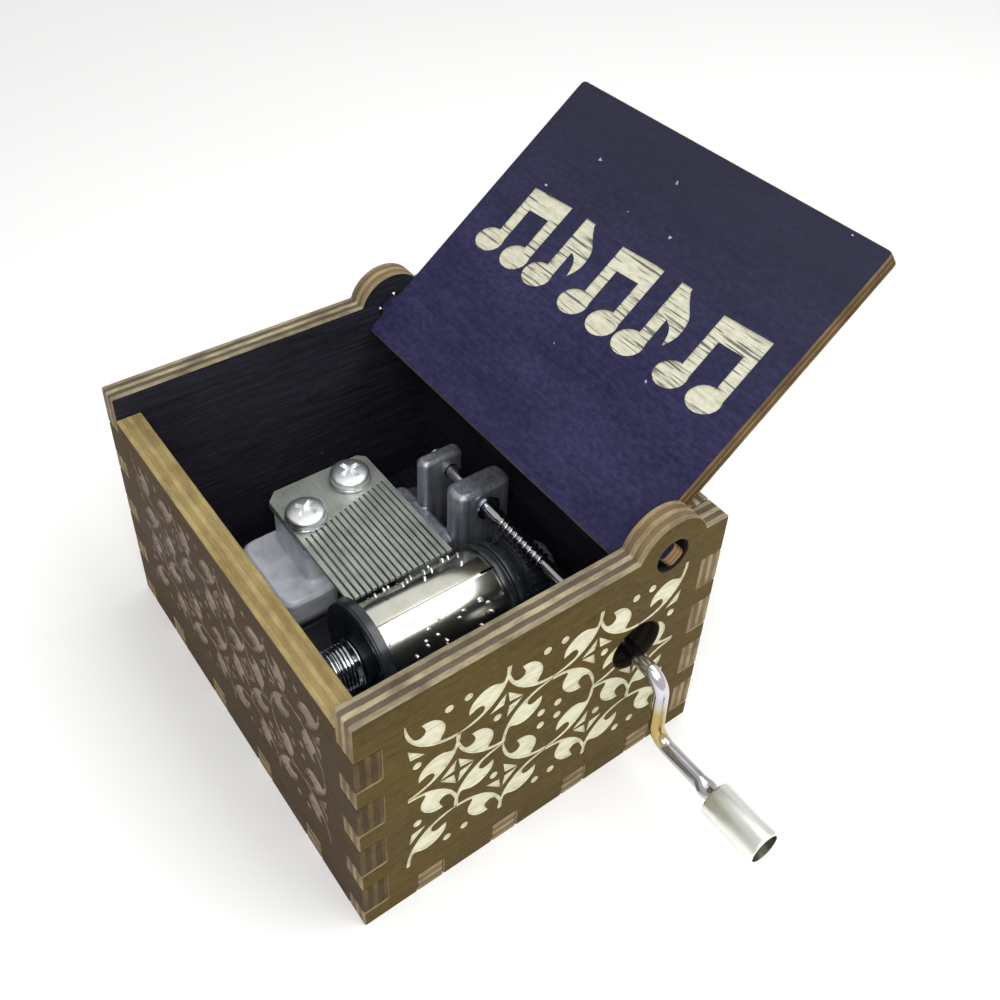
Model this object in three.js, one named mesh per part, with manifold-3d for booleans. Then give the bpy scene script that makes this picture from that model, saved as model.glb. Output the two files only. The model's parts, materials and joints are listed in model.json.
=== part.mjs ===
// Hand crank music box: a small plywood case with a hinged lid, and inside it an
// 18 tooth comb movement whose pinned barrel is turned by a bent wire crank.
// Millimetres. +Z up, -Y is the front, +X the crank side. The origin is the centre
// of the face that the case stands on.
import * as THREE from 'three';
import { mergeVertices } from 'three/addons/utils/BufferGeometryUtils.js';
import Module from 'manifold-3d';

const wasm = await Module();
wasm.setup();

// ---------------------------------------------------------------- driving dimensions
const WIDTH = 64; // case, left to right
const DEPTH = 52; // case, front to back
const HEIGHT = 39.2; // side and back panels
const PLY = 3.4; // plywood thickness
const KERF = 0.1; // gap that the laser leaves on each cut edge
const FRONT_HEIGHT = HEIGHT - PLY; // the closed lid lies on the front panel

const TAB_HEIGHT = 5.1; // finger joints at the four corners
const TAB_PITCH = 8.4;
const TAB_FIRST = 2.95; // lower edge of the lowest finger
const TAB_COUNT = 4;
const FOOT_TAB = 3.6; // width of the bottom panel's tabs
const SIDE_FOOT_TABS = [-16.7, -5.6, 5.6, 16.7]; // along Y
const FRONT_FOOT_TABS = [-19.8, -6.6, 6.6, 19.8]; // along X

const EAR_Y = 17.1; // centre of the ears and of their holes
const EAR_Z = 37.6;
const EAR_RADIUS = 5.5;
const EAR_HOLE_RADIUS = 2.35;
const PIVOT_Y = 17.3; // lid hinge axis, parallel to X: the pintles hang low in the holes
const PIVOT_Z = 37.3;
const LID_THICK = 2.5;
const LID_WIDTH = 56.9;
const LID_FRONT = 43.8; // pivot to the front edge
const LID_REAR = 4.9; // pivot to the rear edge
const LID_CORNER = 1.2;
const LID_OPEN = 141.6; // degrees back from closed
const PINTLE = 2.7;

const SHAFT_Y = 13.0; // crank shaft axis, parallel to X
const SHAFT_Z = 22.9;
const WIRE_RADIUS = 1.0;
const WIRE_SIDES = 10;
const SHAFT_START = -11.2;
const CRANK_BEND_X = 37.4; // centreline of the crank arm
const BEND_RADIUS = 2.5;
const KNOB_Y = 13.6; // axis of the knob leg
const KNOB_Z = 11.8;
const KNOB_START = 48.1;
const KNOB_END = 56.2;
const KNOB_RADIUS = 2.5;
const WING_HALF_WIDTH = 1.55;
const CRANK_HOLE = { y: 13.4, z: 24.0, radius: 3.6 };

const BARREL_X = 9.3; // barrel axis, parallel to Y
const BARREL_Z = 16.2;
const BARREL_RADIUS = 6.3;
const BARREL_BORE = 5.75;
const BARREL_FRONT = -10.9;
const BARREL_REAR = 7.2;
const PIN_HEIGHT = 0.4;
const PIN_RADIUS = 0.2;
const PIN_ROWS = 30;
const ARBOR_RADIUS = 1.0;
const ARBOR_BORE = 1.3;

const GEAR_TEETH = 34;
const GEAR_TIP = 5.76;
const GEAR_ROOT = 5.3;
const GEAR_FRONT = 12.0;
const GEAR_REAR = 14.2;
const WORM_PITCH = 1.035;
const WORM_TIP = 1.24;
const WORM_START = 4.6;
const WORM_TURNS = 9.5;

const COMB_TEETH = 18;
const COMB_PITCH = 0.905;
const COMB_SLOT = 0.26;
const COMB_LEFT = -19.9;
const COMB_TIP = 3.55;
const COMB_FRONT = -10.5;
const COMB_TOP = 20.5;
const COMB_THICK = 1.3;
const TOOTH_THICK = 0.6;
const SLOT_FRONT_START = -9.4; // inner end of the slot beside the shortest tooth
const SLOT_REAR_START = -13.3; // and beside the longest
const COMB_SCREWS = { front: [-12.6, -7.7], rear: [-15.9, 1.3] };
const SCREW_HEAD_RADIUS = 2.8;
const SCREW_HEAD_HEIGHT = 1.8;
const SCREW_SHANK_RADIUS = 1.2;
const WASHER = { outer: 3.0, inner: 1.4, thick: 0.45 };

const FRAME_BOTTOM = PLY + KERF;
const FRAME_TOP = 6.5;
const FRAME_SCREWS = [[-17, 13.5], [-17, -18], [14, -17]];
const POST_TOP = 25.8;

const MOVEMENT_GAP = 0.3; // between pieces that turn on or beside each other

// ---------------------------------------------------------------- materials
function finish(color, roughness, metalness) {
  return new THREE.MeshStandardMaterial({ color, roughness, metalness });
}
const PLYWOOD_DARK = finish(0x5c5230, 0.6, 0);
const PLYWOOD_LID = finish(0x34324e, 0.6, 0);
const ZINC = finish(0xa9afbd, 0.4, 0.9);
const COMB_STEEL = finish(0x8f9383, 0.35, 0.9);
const BRIGHT_STEEL = finish(0xd8dade, 0.2, 1);
const CHROME = finish(0xe6e4e2, 0.08, 1);
const NICKEL = finish(0xb8bcb0, 0.3, 1);
const LEAD = finish(0x6a6c70, 0.6, 0.7);
const BARREL_METAL = finish(0xe4e2b4, 0.15, 1);
const BLACK_PLASTIC = finish(0x0e0e12, 0.25, 0);

// ---------------------------------------------------------------- solid helpers
function toSolid(geometry) {
  const bare = geometry.clone();
  bare.deleteAttribute('normal');
  bare.deleteAttribute('uv');
  const merged = mergeVertices(bare, 1e-4);
  const corners = merged.index.array;
  const triangles = [];
  for (let i = 0; i < corners.length; i += 3) {
    const [a, b, c] = [corners[i], corners[i + 1], corners[i + 2]];
    if (a !== b && b !== c && c !== a) triangles.push(a, b, c);
  }
  return new wasm.Manifold(new wasm.Mesh({
    numProp: 3,
    vertProperties: Float32Array.from(merged.attributes.position.array),
    triVerts: Uint32Array.from(triangles),
  }));
}

function toGeometry(solid) {
  const mesh = solid.getMesh();
  const geometry = new THREE.BufferGeometry();
  geometry.setAttribute('position', new THREE.BufferAttribute(mesh.vertProperties, 3));
  geometry.setIndex(new THREE.BufferAttribute(mesh.triVerts, 1));
  geometry.computeVertexNormals();
  return geometry;
}

function join(...geometries) {
  return toGeometry(geometries.map(toSolid).reduce((sum, solid) => sum.add(solid)));
}

function cut(geometry, ...tools) {
  return toGeometry(tools.map(toSolid).reduce((rest, tool) => rest.subtract(tool), toSolid(geometry)));
}

function box(x0, x1, y0, y1, z0, z1) {
  const geometry = new THREE.BoxGeometry(x1 - x0, y1 - y0, z1 - z0);
  return geometry.translate((x0 + x1) / 2, (y0 + y1) / 2, (z0 + z1) / 2);
}

// A round bar between two places on an axis; the other two coordinates are its centre.
function barX(radius, x0, x1, y, z, sides = 20) {
  const bar = new THREE.CylinderGeometry(radius, radius, x1 - x0, sides).rotateZ(-Math.PI / 2);
  return bar.translate((x0 + x1) / 2, y, z);
}
function barY(radius, y0, y1, x, z, sides = 20) {
  return new THREE.CylinderGeometry(radius, radius, y1 - y0, sides).translate(x, (y0 + y1) / 2, z);
}
function barZ(radius, z0, z1, x, y, sides = 16) {
  const bar = new THREE.CylinderGeometry(radius, radius, z1 - z0, sides).rotateX(Math.PI / 2);
  return bar.translate(x, y, (z0 + z1) / 2);
}

// A profile of [radius, height] points turned round the Y axis, or round X or Z.
function turned(profile, sides = 32) {
  return new THREE.LatheGeometry(profile.map(([r, h]) => new THREE.Vector2(r, h)), sides);
}
function turnedX(profile, sides) {
  return turned(profile, sides).rotateZ(-Math.PI / 2);
}
function turnedZ(profile, sides) {
  return turned(profile, sides).rotateX(Math.PI / 2);
}

// A flat outline given a thickness: along Z, along X from a (y, z) outline, or along
// Y from an (x, z) outline.
function plateZ(shape, z0, z1, curveSegments = 4) {
  const settings = { depth: z1 - z0, bevelEnabled: false, curveSegments };
  return new THREE.ExtrudeGeometry(shape, settings).translate(0, 0, z0);
}
function plateX(shape, x0, x1, curveSegments) {
  const toX = new THREE.Matrix4().makeBasis(
    new THREE.Vector3(0, 1, 0), new THREE.Vector3(0, 0, 1), new THREE.Vector3(1, 0, 0));
  return plateZ(shape, 0, x1 - x0, curveSegments).applyMatrix4(toX).translate(x0, 0, 0);
}
function plateY(shape, y0, y1, curveSegments) {
  const toY = new THREE.Matrix4().makeBasis(
    new THREE.Vector3(1, 0, 0), new THREE.Vector3(0, 0, 1), new THREE.Vector3(0, -1, 0));
  return plateZ(shape, 0, y1 - y0, curveSegments).applyMatrix4(toY).translate(0, y1, 0);
}

function outline(points) {
  return new THREE.Shape(points.map(([a, b]) => new THREE.Vector2(a, b)));
}

function roundedRectangle(x0, x1, y0, y1, radius) {
  const shape = new THREE.Shape();
  shape.absarc(x1 - radius, y0 + radius, radius, -Math.PI / 2, 0);
  shape.absarc(x1 - radius, y1 - radius, radius, 0, Math.PI / 2);
  shape.absarc(x0 + radius, y1 - radius, radius, Math.PI / 2, Math.PI);
  shape.absarc(x0 + radius, y0 + radius, radius, Math.PI, Math.PI * 1.5);
  return shape;
}

// ---------------------------------------------------------------- assembly
const musicBox = new THREE.Group();

function piece(name, geometry, material, parent = musicBox) {
  const mesh = new THREE.Mesh(geometry, material);
  mesh.name = name;
  parent.add(mesh);
  return mesh;
}

// ---------------------------------------------------------------- plywood case
const HALF_W = WIDTH / 2;
const HALF_D = DEPTH / 2;
const INNER_W = HALF_W - PLY;
const INNER_D = HALF_D - PLY;

function tabRanges() {
  return Array.from({ length: TAB_COUNT }, (_, i) => {
    const low = TAB_FIRST + i * TAB_PITCH;
    return [low, low + TAB_HEIGHT];
  });
}

// Side panels: notched for the fingers of the front and back panels and for the tabs
// of the bottom panel, with a round ear that carries the lid's pintle.
function sidePanel(x0, x1) {
  const plate = box(x0, x1, -HALF_D, HALF_D, 0, HEIGHT);
  const ear = barX(EAR_RADIUS, x0, x1, EAR_Y, EAR_Z, 40);
  const tools = [barX(EAR_HOLE_RADIUS, x0 - 1, x1 + 1, EAR_Y, EAR_Z, 32)];
  for (const [low, high] of tabRanges()) {
    const [z0, z1] = [low - KERF, high + KERF];
    tools.push(box(x0 - 1, x1 + 1, -HALF_D - 1, -INNER_D + KERF, z0, z1));
    tools.push(box(x0 - 1, x1 + 1, INNER_D - KERF, HALF_D + 1, z0, z1));
  }
  for (const y of SIDE_FOOT_TABS) {
    const half = FOOT_TAB / 2 + KERF;
    tools.push(box(x0 - 1, x1 + 1, y - half, y + half, -1, PLY + KERF));
  }
  return cut(join(plate, ear), ...tools);
}

const crankHole = barX(CRANK_HOLE.radius, INNER_W - 1, HALF_W + 1, CRANK_HOLE.y, CRANK_HOLE.z, 36);
piece('right_side_panel', cut(sidePanel(INNER_W, HALF_W), crankHole), PLYWOOD_DARK);
piece('left_side_panel', sidePanel(-HALF_W, -INNER_W), PLYWOOD_DARK);

// Front and back panels: fingers out to the side panels' faces, and notches for the
// bottom panel's tabs.
function crossPanel(y0, y1, height) {
  const half = INNER_W - KERF;
  const parts = [box(-half, half, y0, y1, 0, height)];
  for (const [low, high] of tabRanges()) {
    parts.push(box(-HALF_W, HALF_W, y0, y1, low, Math.min(high, height)));
  }
  const tools = FRONT_FOOT_TABS.map((x) => {
    const reach = FOOT_TAB / 2 + KERF;
    return box(x - reach, x + reach, y0 - 1, y1 + 1, -1, PLY + KERF);
  });
  return cut(join(...parts), ...tools);
}
piece('front_panel', crossPanel(-HALF_D, -INNER_D, FRONT_HEIGHT), PLYWOOD_DARK);
piece('back_panel', crossPanel(INNER_D, HALF_D, HEIGHT), PLYWOOD_DARK);

// Countersunk wood screw: a solid of [radius, height] from its head up.
const SCREW_TIP = 8.2;
function frameScrewProfile(grow) {
  return [
    [0, 0.1 - grow], [2.7 + grow, 0.1 - grow], [1.25 + grow, 1.6], [1.25 + grow, SCREW_TIP - 0.6],
    [0.4 + grow, SCREW_TIP + grow], [0, SCREW_TIP + grow],
  ];
}
function frameScrew([x, y], grow = 0) {
  return turnedZ(frameScrewProfile(grow), 16).translate(x, y, 0);
}

function bottomPanel() {
  const halfX = INNER_W - KERF;
  const halfY = INNER_D - KERF;
  const parts = [box(-halfX, halfX, -halfY, halfY, 0, PLY)];
  for (const y of SIDE_FOOT_TABS) {
    parts.push(box(-HALF_W, HALF_W, y - FOOT_TAB / 2, y + FOOT_TAB / 2, 0, PLY));
  }
  for (const x of FRONT_FOOT_TABS) {
    parts.push(box(x - FOOT_TAB / 2, x + FOOT_TAB / 2, -HALF_D, HALF_D, 0, PLY));
  }
  return cut(join(...parts), ...FRAME_SCREWS.map((place) => frameScrew(place, 0.25)));
}
piece('bottom_panel', bottomPanel(), PLYWOOD_DARK);

// The lid is drawn closed, about its pivot, and its group is turned back to open.
const lidHinge = new THREE.Group();
lidHinge.position.set(0, PIVOT_Y, PIVOT_Z);
lidHinge.rotation.x = -THREE.MathUtils.degToRad(LID_OPEN);
musicBox.add(lidHinge);

function lidPlate() {
  const shape = roundedRectangle(-LID_WIDTH / 2, LID_WIDTH / 2, -LID_FRONT, LID_REAR, LID_CORNER);
  const plate = plateZ(shape, -LID_THICK / 2, LID_THICK / 2);
  const pintles = box(-HALF_W, HALF_W, -PINTLE / 2, PINTLE / 2, -LID_THICK / 2, LID_THICK / 2);
  return join(plate, pintles);
}
piece('lid_panel', lidPlate(), PLYWOOD_LID, lidHinge);

// ---------------------------------------------------------------- movement frame
// One die casting: bed plate, comb bed, posts for the crank shaft, and a standard at
// each end of the barrel.
function standard(y0, y1, left, right) {
  const headRadius = 3.2;
  const leg = box(left, right, y0, y1, FRAME_TOP - 1, BARREL_Z - 1);
  return [leg, barY(headRadius, y0, y1, BARREL_X, BARREL_Z, 28)];
}

function movementFrame() {
  const bosses = FRAME_SCREWS.map(([x, y]) => barZ(2.9, FRAME_TOP - 0.5, SCREW_TIP + 1, x, y, 16));
  const body = join(
    plateZ(roundedRectangle(-21.5, 17.5, -21.3, 18.4, 3), FRAME_BOTTOM, FRAME_TOP),
    plateZ(roundedRectangle(-19.3, -8.6, -9.9, 5.0, 1.2), FRAME_TOP - 1, COMB_TOP - COMB_THICK - KERF),
    plateZ(roundedRectangle(-21.2, -6.4, -15, -6, 2.6), FRAME_TOP - 1, 12),
    plateZ(roundedRectangle(-14, -0.2, 2, 9.4, 2.2), FRAME_TOP - 1, 17.4),
    plateZ(roundedRectangle(-9.8, -7.3, 8.4, 15.3, 1.2), FRAME_TOP - 1, POST_TOP),
    plateZ(roundedRectangle(-2.9, 1.2, 8.6, 17.8, 2.0), FRAME_TOP - 1, POST_TOP),
    ...standard(15, 17.6, -1, 12.5),
    ...standard(-20.6, -18.6, 6.1, 12.5),
    ...bosses);
  const tools = [
    barX(WIRE_RADIUS + MOVEMENT_GAP, -12, 4, SHAFT_Y, SHAFT_Z),
    barY(ARBOR_BORE, -22, -17, BARREL_X, BARREL_Z),
    barY(ARBOR_BORE, 14, 20, BARREL_X, BARREL_Z),
    ...FRAME_SCREWS.map((place) => frameScrew(place, 0.3)),
    ...Object.values(COMB_SCREWS).map(([x, y]) => barZ(SCREW_SHANK_RADIUS + 0.2, 13, 21, x, y, 12)),
  ];
  return cut(body, ...tools);
}
piece('movement_frame', movementFrame(), ZINC);

// ---------------------------------------------------------------- comb
function combOutline() {
  const rear = COMB_FRONT + COMB_TEETH * COMB_PITCH;
  const points = [[COMB_LEFT + 1.6, COMB_FRONT]];
  for (let i = 0; i < COMB_TEETH; i++) {
    const low = COMB_FRONT + i * COMB_PITCH;
    points.push([COMB_TIP, low + (i ? COMB_SLOT / 2 : 0)]);
    if (i === COMB_TEETH - 1) break;
    const share = i / (COMB_TEETH - 2);
    const root = SLOT_FRONT_START + (SLOT_REAR_START - SLOT_FRONT_START) * share;
    const high = low + COMB_PITCH;
    points.push([COMB_TIP, high - COMB_SLOT / 2], [root, high - COMB_SLOT / 2], [root, high + COMB_SLOT / 2]);
  }
  points.push([COMB_TIP, rear], [COMB_LEFT + 1, rear], [COMB_LEFT, rear - 1], [COMB_LEFT, COMB_FRONT + 1.6]);
  return outline(points);
}

// The back of the comb is thick, and the teeth are ground thin on their underside.
function comb() {
  const blank = plateZ(combOutline(), COMB_TOP - COMB_THICK, COMB_TOP);
  const underside = COMB_TOP - TOOTH_THICK;
  const grinding = outline([[-8.4, -20], [20, -20], [20, 20], [-12.6, 20]]);
  const holes = Object.values(COMB_SCREWS).map(([x, y]) => {
    return barZ(SCREW_SHANK_RADIUS + 0.2, COMB_TOP - 3, COMB_TOP + 1, x, y, 16);
  });
  return cut(blank, plateZ(grinding, underside - 3, underside), ...holes);
}
piece('comb', comb(), COMB_STEEL);

// Lead weights soldered under the tips of the longest teeth, which play the low notes.
const LEAD_TEETH = 4;
for (let i = 0; i < LEAD_TEETH; i++) {
  const tooth = COMB_FRONT + (COMB_TEETH - 0.5 - i) * COMB_PITCH;
  const half = (COMB_PITCH - COMB_SLOT) / 2 - 0.03;
  const top = COMB_TOP - TOOTH_THICK - 0.02;
  const right = COMB_TIP - 3.4;
  const weight = box(right - 4.4 + i * 0.6, right, tooth - half, tooth + half, top - 1.8 + i * 0.2, top);
  piece(`comb_lead_weight_${i + 1}`, weight, LEAD);
}

// Pan head cross recess screws with a washer each hold the comb down.
function combScrew([x, y]) {
  const seat = WASHER.thick + KERF / 2;
  const dome = [
    [0, SCREW_HEAD_HEIGHT], [1.5, SCREW_HEAD_HEIGHT - 0.1], [2.3, SCREW_HEAD_HEIGHT - 0.45],
    [SCREW_HEAD_RADIUS, 0.8], [SCREW_HEAD_RADIUS, 0], [SCREW_SHANK_RADIUS, 0],
    [SCREW_SHANK_RADIUS, -6.2], [0, -6.6],
  ];
  const head = turnedZ([...dome].reverse(), 20);
  const slotDepth = SCREW_HEAD_HEIGHT - 0.9;
  const cross = [
    box(-1.5, 1.5, -0.3, 0.3, slotDepth, SCREW_HEAD_HEIGHT + 1),
    box(-0.3, 0.3, -1.5, 1.5, slotDepth, SCREW_HEAD_HEIGHT + 1),
  ];
  return cut(head, ...cross).translate(x, y, COMB_TOP + seat);
}
function combWasher([x, y]) {
  const low = KERF / 4;
  const high = low + WASHER.thick;
  const ring = [
    [WASHER.inner, low], [WASHER.outer, low], [WASHER.outer, high], [WASHER.inner, high],
    [WASHER.inner, low],
  ];
  return turnedZ(ring, 20).translate(x, y, COMB_TOP);
}
for (const [place, centre] of Object.entries(COMB_SCREWS)) {
  piece(`comb_screw_${place}`, combScrew(centre), BRIGHT_STEEL);
  piece(`comb_washer_${place}`, combWasher(centre), BRIGHT_STEEL);
}

FRAME_SCREWS.forEach((place, i) => piece(`frame_screw_${i + 1}`, frameScrew(place), BRIGHT_STEEL));

// ---------------------------------------------------------------- barrel
// Everything here turns about the barrel axis, so it is drawn round Y.
const barrelAxis = new THREE.Group();
barrelAxis.position.set(BARREL_X, 0, BARREL_Z);
musicBox.add(barrelAxis);

// The pins of one tune: each row is a note, and each note falls on one tooth's track.
function barrelSleeve() {
  const tube = turned([
    [BARREL_BORE, BARREL_FRONT], [BARREL_RADIUS, BARREL_FRONT], [BARREL_RADIUS, BARREL_REAR],
    [BARREL_BORE, BARREL_REAR], [BARREL_BORE, BARREL_FRONT],
  ], 40);
  const pins = Array.from({ length: PIN_ROWS }, (_, row) => {
    const tooth = (row * 7 + Math.floor(row / 5)) % COMB_TEETH;
    const sunk = 0.3;
    const pin = new THREE.CylinderGeometry(PIN_RADIUS * 0.7, PIN_RADIUS, PIN_HEIGHT + sunk, 4);
    pin.rotateZ(-Math.PI / 2).translate(BARREL_RADIUS + (PIN_HEIGHT - sunk) / 2, 0, 0);
    pin.rotateY((row + 0.5) * 2 * Math.PI / PIN_ROWS);
    return pin.translate(0, COMB_FRONT + (tooth + 0.5) * COMB_PITCH, 0);
  });
  return join(tube, ...pins);
}
piece('barrel_sleeve', barrelSleeve(), BARREL_METAL, barrelAxis);

// Front cap: a flange with a dished face and a hub, and a spigot inside the sleeve.
const CAP_RADIUS = 8.0;
const CAP_FACE = BARREL_FRONT - 1.8;
const HUB_RADIUS = 3.4;
const HUB_FACE = CAP_FACE - 0.4;
const SPIGOT = BARREL_BORE - 0.1;
piece('barrel_front_cap', turned([
  [ARBOR_BORE, BARREL_FRONT + 3], [ARBOR_BORE, HUB_FACE], [HUB_RADIUS, HUB_FACE],
  [HUB_RADIUS, CAP_FACE + 1.1], [5.6, CAP_FACE + 1.2], [7.2, CAP_FACE],
  [CAP_RADIUS - 0.2, CAP_FACE], [CAP_RADIUS, CAP_FACE + 0.2],
  [CAP_RADIUS, BARREL_FRONT - KERF], [SPIGOT, BARREL_FRONT - KERF], [SPIGOT, BARREL_FRONT + 3],
  [ARBOR_BORE, BARREL_FRONT + 3],
], 32), BLACK_PLASTIC, barrelAxis);

// Rear cap: grooved flanges and the toothed wheel that the worm drives, in one piece.
function gearOutline() {
  const points = [];
  const step = 2 * Math.PI / GEAR_TEETH;
  const place = (radius, angle) => points.push([radius * Math.cos(angle), radius * Math.sin(angle)]);
  for (let i = 0; i < GEAR_TEETH; i++) {
    // A gap faces straight up, where the worm's thread sits.
    const middle = Math.PI / 2 + (i + 0.5) * step;
    place(GEAR_ROOT, middle - step * 0.24);
    place(GEAR_TIP, middle - step * 0.14);
    place(GEAR_TIP, middle + step * 0.14);
    place(GEAR_ROOT, middle + step * 0.24);
  }
  return outline(points);
}
function barrelGear() {
  const rear = BARREL_REAR + KERF;
  const flanges = turned([
    [0, rear - 3], [SPIGOT, rear - 3], [SPIGOT, rear], [6.8, rear], [6.8, rear + 0.8],
    [6.2, rear + 0.9], [6.2, rear + 1.3], [6.7, rear + 1.4], [6.7, rear + 2.1],
    [5.9, rear + 2.3], [5.9, rear + 2.8], [5.0, GEAR_FRONT - 0.6], [5.0, GEAR_REAR],
    [2.6, GEAR_REAR], [2.6, GEAR_REAR + 0.4], [0, GEAR_REAR + 0.4],
  ], 32);
  const wheel = plateY(gearOutline(), GEAR_FRONT, GEAR_REAR);
  const bore = barY(ARBOR_BORE, 0, GEAR_REAR + 2, 0, 0);
  return cut(join(flanges, wheel), bore);
}
piece('barrel_gear', barrelGear(), BLACK_PLASTIC, barrelAxis);

// The fixed arbor runs through both standards, with a slotted head at the front.
const ARBOR_HEAD_FRONT = -21.9;
const ARBOR_HEAD_REAR = -20.9;
const arbor = turned([
  [0, ARBOR_HEAD_FRONT], [1.9, ARBOR_HEAD_FRONT + 0.2], [1.9, ARBOR_HEAD_REAR],
  [ARBOR_RADIUS, ARBOR_HEAD_REAR], [ARBOR_RADIUS, 17.9], [0, 18.1],
], 20);
const arborSlot = box(-2, 2, ARBOR_HEAD_FRONT - 1, ARBOR_HEAD_FRONT + 0.5, -0.25, 0.25);
piece('barrel_arbor', cut(arbor, arborSlot), BRIGHT_STEEL, barrelAxis);

// The coil spring holds the barrel back against the rear standard; it bears on the
// front standard and on a thrust washer in front of the cap's hub.
const SPRING_FRONT = -18.3;
const SPRING_REAR = -13.85;
const SPRING_RADIUS = 2.9;
const SPRING_WIRE = 0.2;
const SPRING_TURNS = 9;
class Helix extends THREE.Curve {
  getPoint(t) {
    const angle = 2 * Math.PI * SPRING_TURNS * t;
    const y = SPRING_FRONT + (SPRING_REAR - SPRING_FRONT) * t;
    return new THREE.Vector3(SPRING_RADIUS * Math.cos(angle), y, SPRING_RADIUS * Math.sin(angle));
  }
}
function circleShape(radius, sides) {
  const points = Array.from({ length: sides }, (_, i) => {
    const angle = 2 * Math.PI * i / sides;
    return [radius * Math.cos(angle), radius * Math.sin(angle)];
  });
  return outline(points);
}
piece('barrel_spring', new THREE.ExtrudeGeometry(circleShape(SPRING_WIRE, 5), {
  steps: SPRING_TURNS * 12, bevelEnabled: false, extrudePath: new Helix(),
}), BRIGHT_STEEL, barrelAxis);

function ring(y0, y1, inner, outer) {
  return turned([[inner, y0], [outer, y0], [outer, y1], [inner, y1], [inner, y0]], 20);
}
const SPRING_END = SPRING_REAR + SPRING_WIRE;
piece('spring_washer', ring(SPRING_END + KERF, HUB_FACE - KERF, ARBOR_RADIUS + 0.15, 3.3),
  BRIGHT_STEEL, barrelAxis);

// ---------------------------------------------------------------- crank shaft
// One bent wire: the worm is cut on it, it runs out through the side panel, drops down
// the arm and turns outward again into the leg that the knob spins on.
class Route extends THREE.Curve {
  constructor(points) {
    super();
    this.points = points;
  }
  getPoint(t) {
    const at = t * (this.points.length - 1);
    const i = Math.min(Math.floor(at), this.points.length - 2);
    return this.points[i].clone().lerp(this.points[i + 1], at - i);
  }
  getUtoTmapping(u) {
    return u;
  }
}

// Points on a quarter turn of the wire round `corner`, from one leg to the next.
function bend(corner, from, to) {
  const steps = 5;
  const before = corner.clone().addScaledVector(from, -BEND_RADIUS);
  const centre = before.clone().addScaledVector(to, BEND_RADIUS);
  return Array.from({ length: steps + 1 }, (_, i) => {
    const angle = Math.PI / 2 * i / steps;
    return centre.clone().addScaledVector(to, -BEND_RADIUS * Math.cos(angle))
      .addScaledVector(from, BEND_RADIUS * Math.sin(angle));
  });
}

const RIVET_X = 54.9;
function crankWire() {
  const shaftEnd = new THREE.Vector3(CRANK_BEND_X, SHAFT_Y, SHAFT_Z);
  const legStart = new THREE.Vector3(CRANK_BEND_X, KNOB_Y, KNOB_Z);
  const outward = new THREE.Vector3(1, 0, 0);
  const down = legStart.clone().sub(shaftEnd).normalize();
  const route = new Route([
    new THREE.Vector3(SHAFT_START, SHAFT_Y, SHAFT_Z),
    ...bend(shaftEnd, outward, down),
    ...bend(legStart, down, outward),
    new THREE.Vector3(RIVET_X, KNOB_Y, KNOB_Z),
  ]);
  return new THREE.ExtrudeGeometry(circleShape(WIRE_RADIUS, WIRE_SIDES), {
    steps: route.points.length - 1, bevelEnabled: false, extrudePath: route,
  });
}

// The worm's thread: a trapezoid ridge wound round the shaft. At BARREL_X the ridge
// points straight down, into the wheel's gap.
function wormThread() {
  const stepsPerTurn = 10;
  const steps = Math.round(WORM_TURNS * stepsPerTurn);
  const inner = WIRE_RADIUS * 0.8;
  const section = [[-0.24, inner], [-0.1, WORM_TIP], [0.1, WORM_TIP], [0.24, inner]];
  const positions = [];
  for (let i = 0; i <= steps; i++) {
    const x = WORM_START + 0.5 + i * WORM_PITCH / stepsPerTurn;
    const angle = -Math.PI / 2 + 2 * Math.PI * (x - BARREL_X) / WORM_PITCH;
    for (const [along, radius] of section) {
      positions.push(x + along, SHAFT_Y + radius * Math.cos(angle), SHAFT_Z + radius * Math.sin(angle));
    }
  }
  const index = [0, 1, 2, 0, 2, 3];
  const last = steps * 4;
  index.push(last, last + 2, last + 1, last, last + 3, last + 2);
  for (let i = 0; i < steps; i++) {
    for (let side = 0; side < 4; side++) {
      const a = i * 4 + side;
      const b = i * 4 + (side + 1) % 4;
      index.push(a, a + 4, b, b, a + 4, b + 4);
    }
  }
  const geometry = new THREE.BufferGeometry();
  geometry.setAttribute('position', new THREE.Float32BufferAttribute(positions, 3));
  geometry.setIndex(index);
  return geometry;
}

// Wings pressed out of the leg stop the knob on one side, a riveted end on the other.
function crankShaft() {
  const wings = box(45.4, 47.6, KNOB_Y - WING_HALF_WIDTH, KNOB_Y + WING_HALF_WIDTH,
    KNOB_Z - 0.35, KNOB_Z + 0.35);
  const rivet = barX(1.6, RIVET_X - 0.5, RIVET_X + 0.1, KNOB_Y, KNOB_Z, 16);
  return join(crankWire(), wormThread(), wings, rivet);
}
piece('crank_shaft', crankShaft(), CHROME);

function shaftCollar(x0, x1) {
  const profile = [[WIRE_RADIUS + 0.06, x0], [1.9, x0], [1.9, x1], [WIRE_RADIUS + 0.06, x1]];
  return turnedX([...profile, profile[0]], 20).translate(0, SHAFT_Y, SHAFT_Z);
}
piece('shaft_collar_outer', shaftCollar(-10.7, -10.1), BRIGHT_STEEL);
piece('shaft_collar_inner', shaftCollar(1.5, 2.1), BRIGHT_STEEL);

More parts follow.
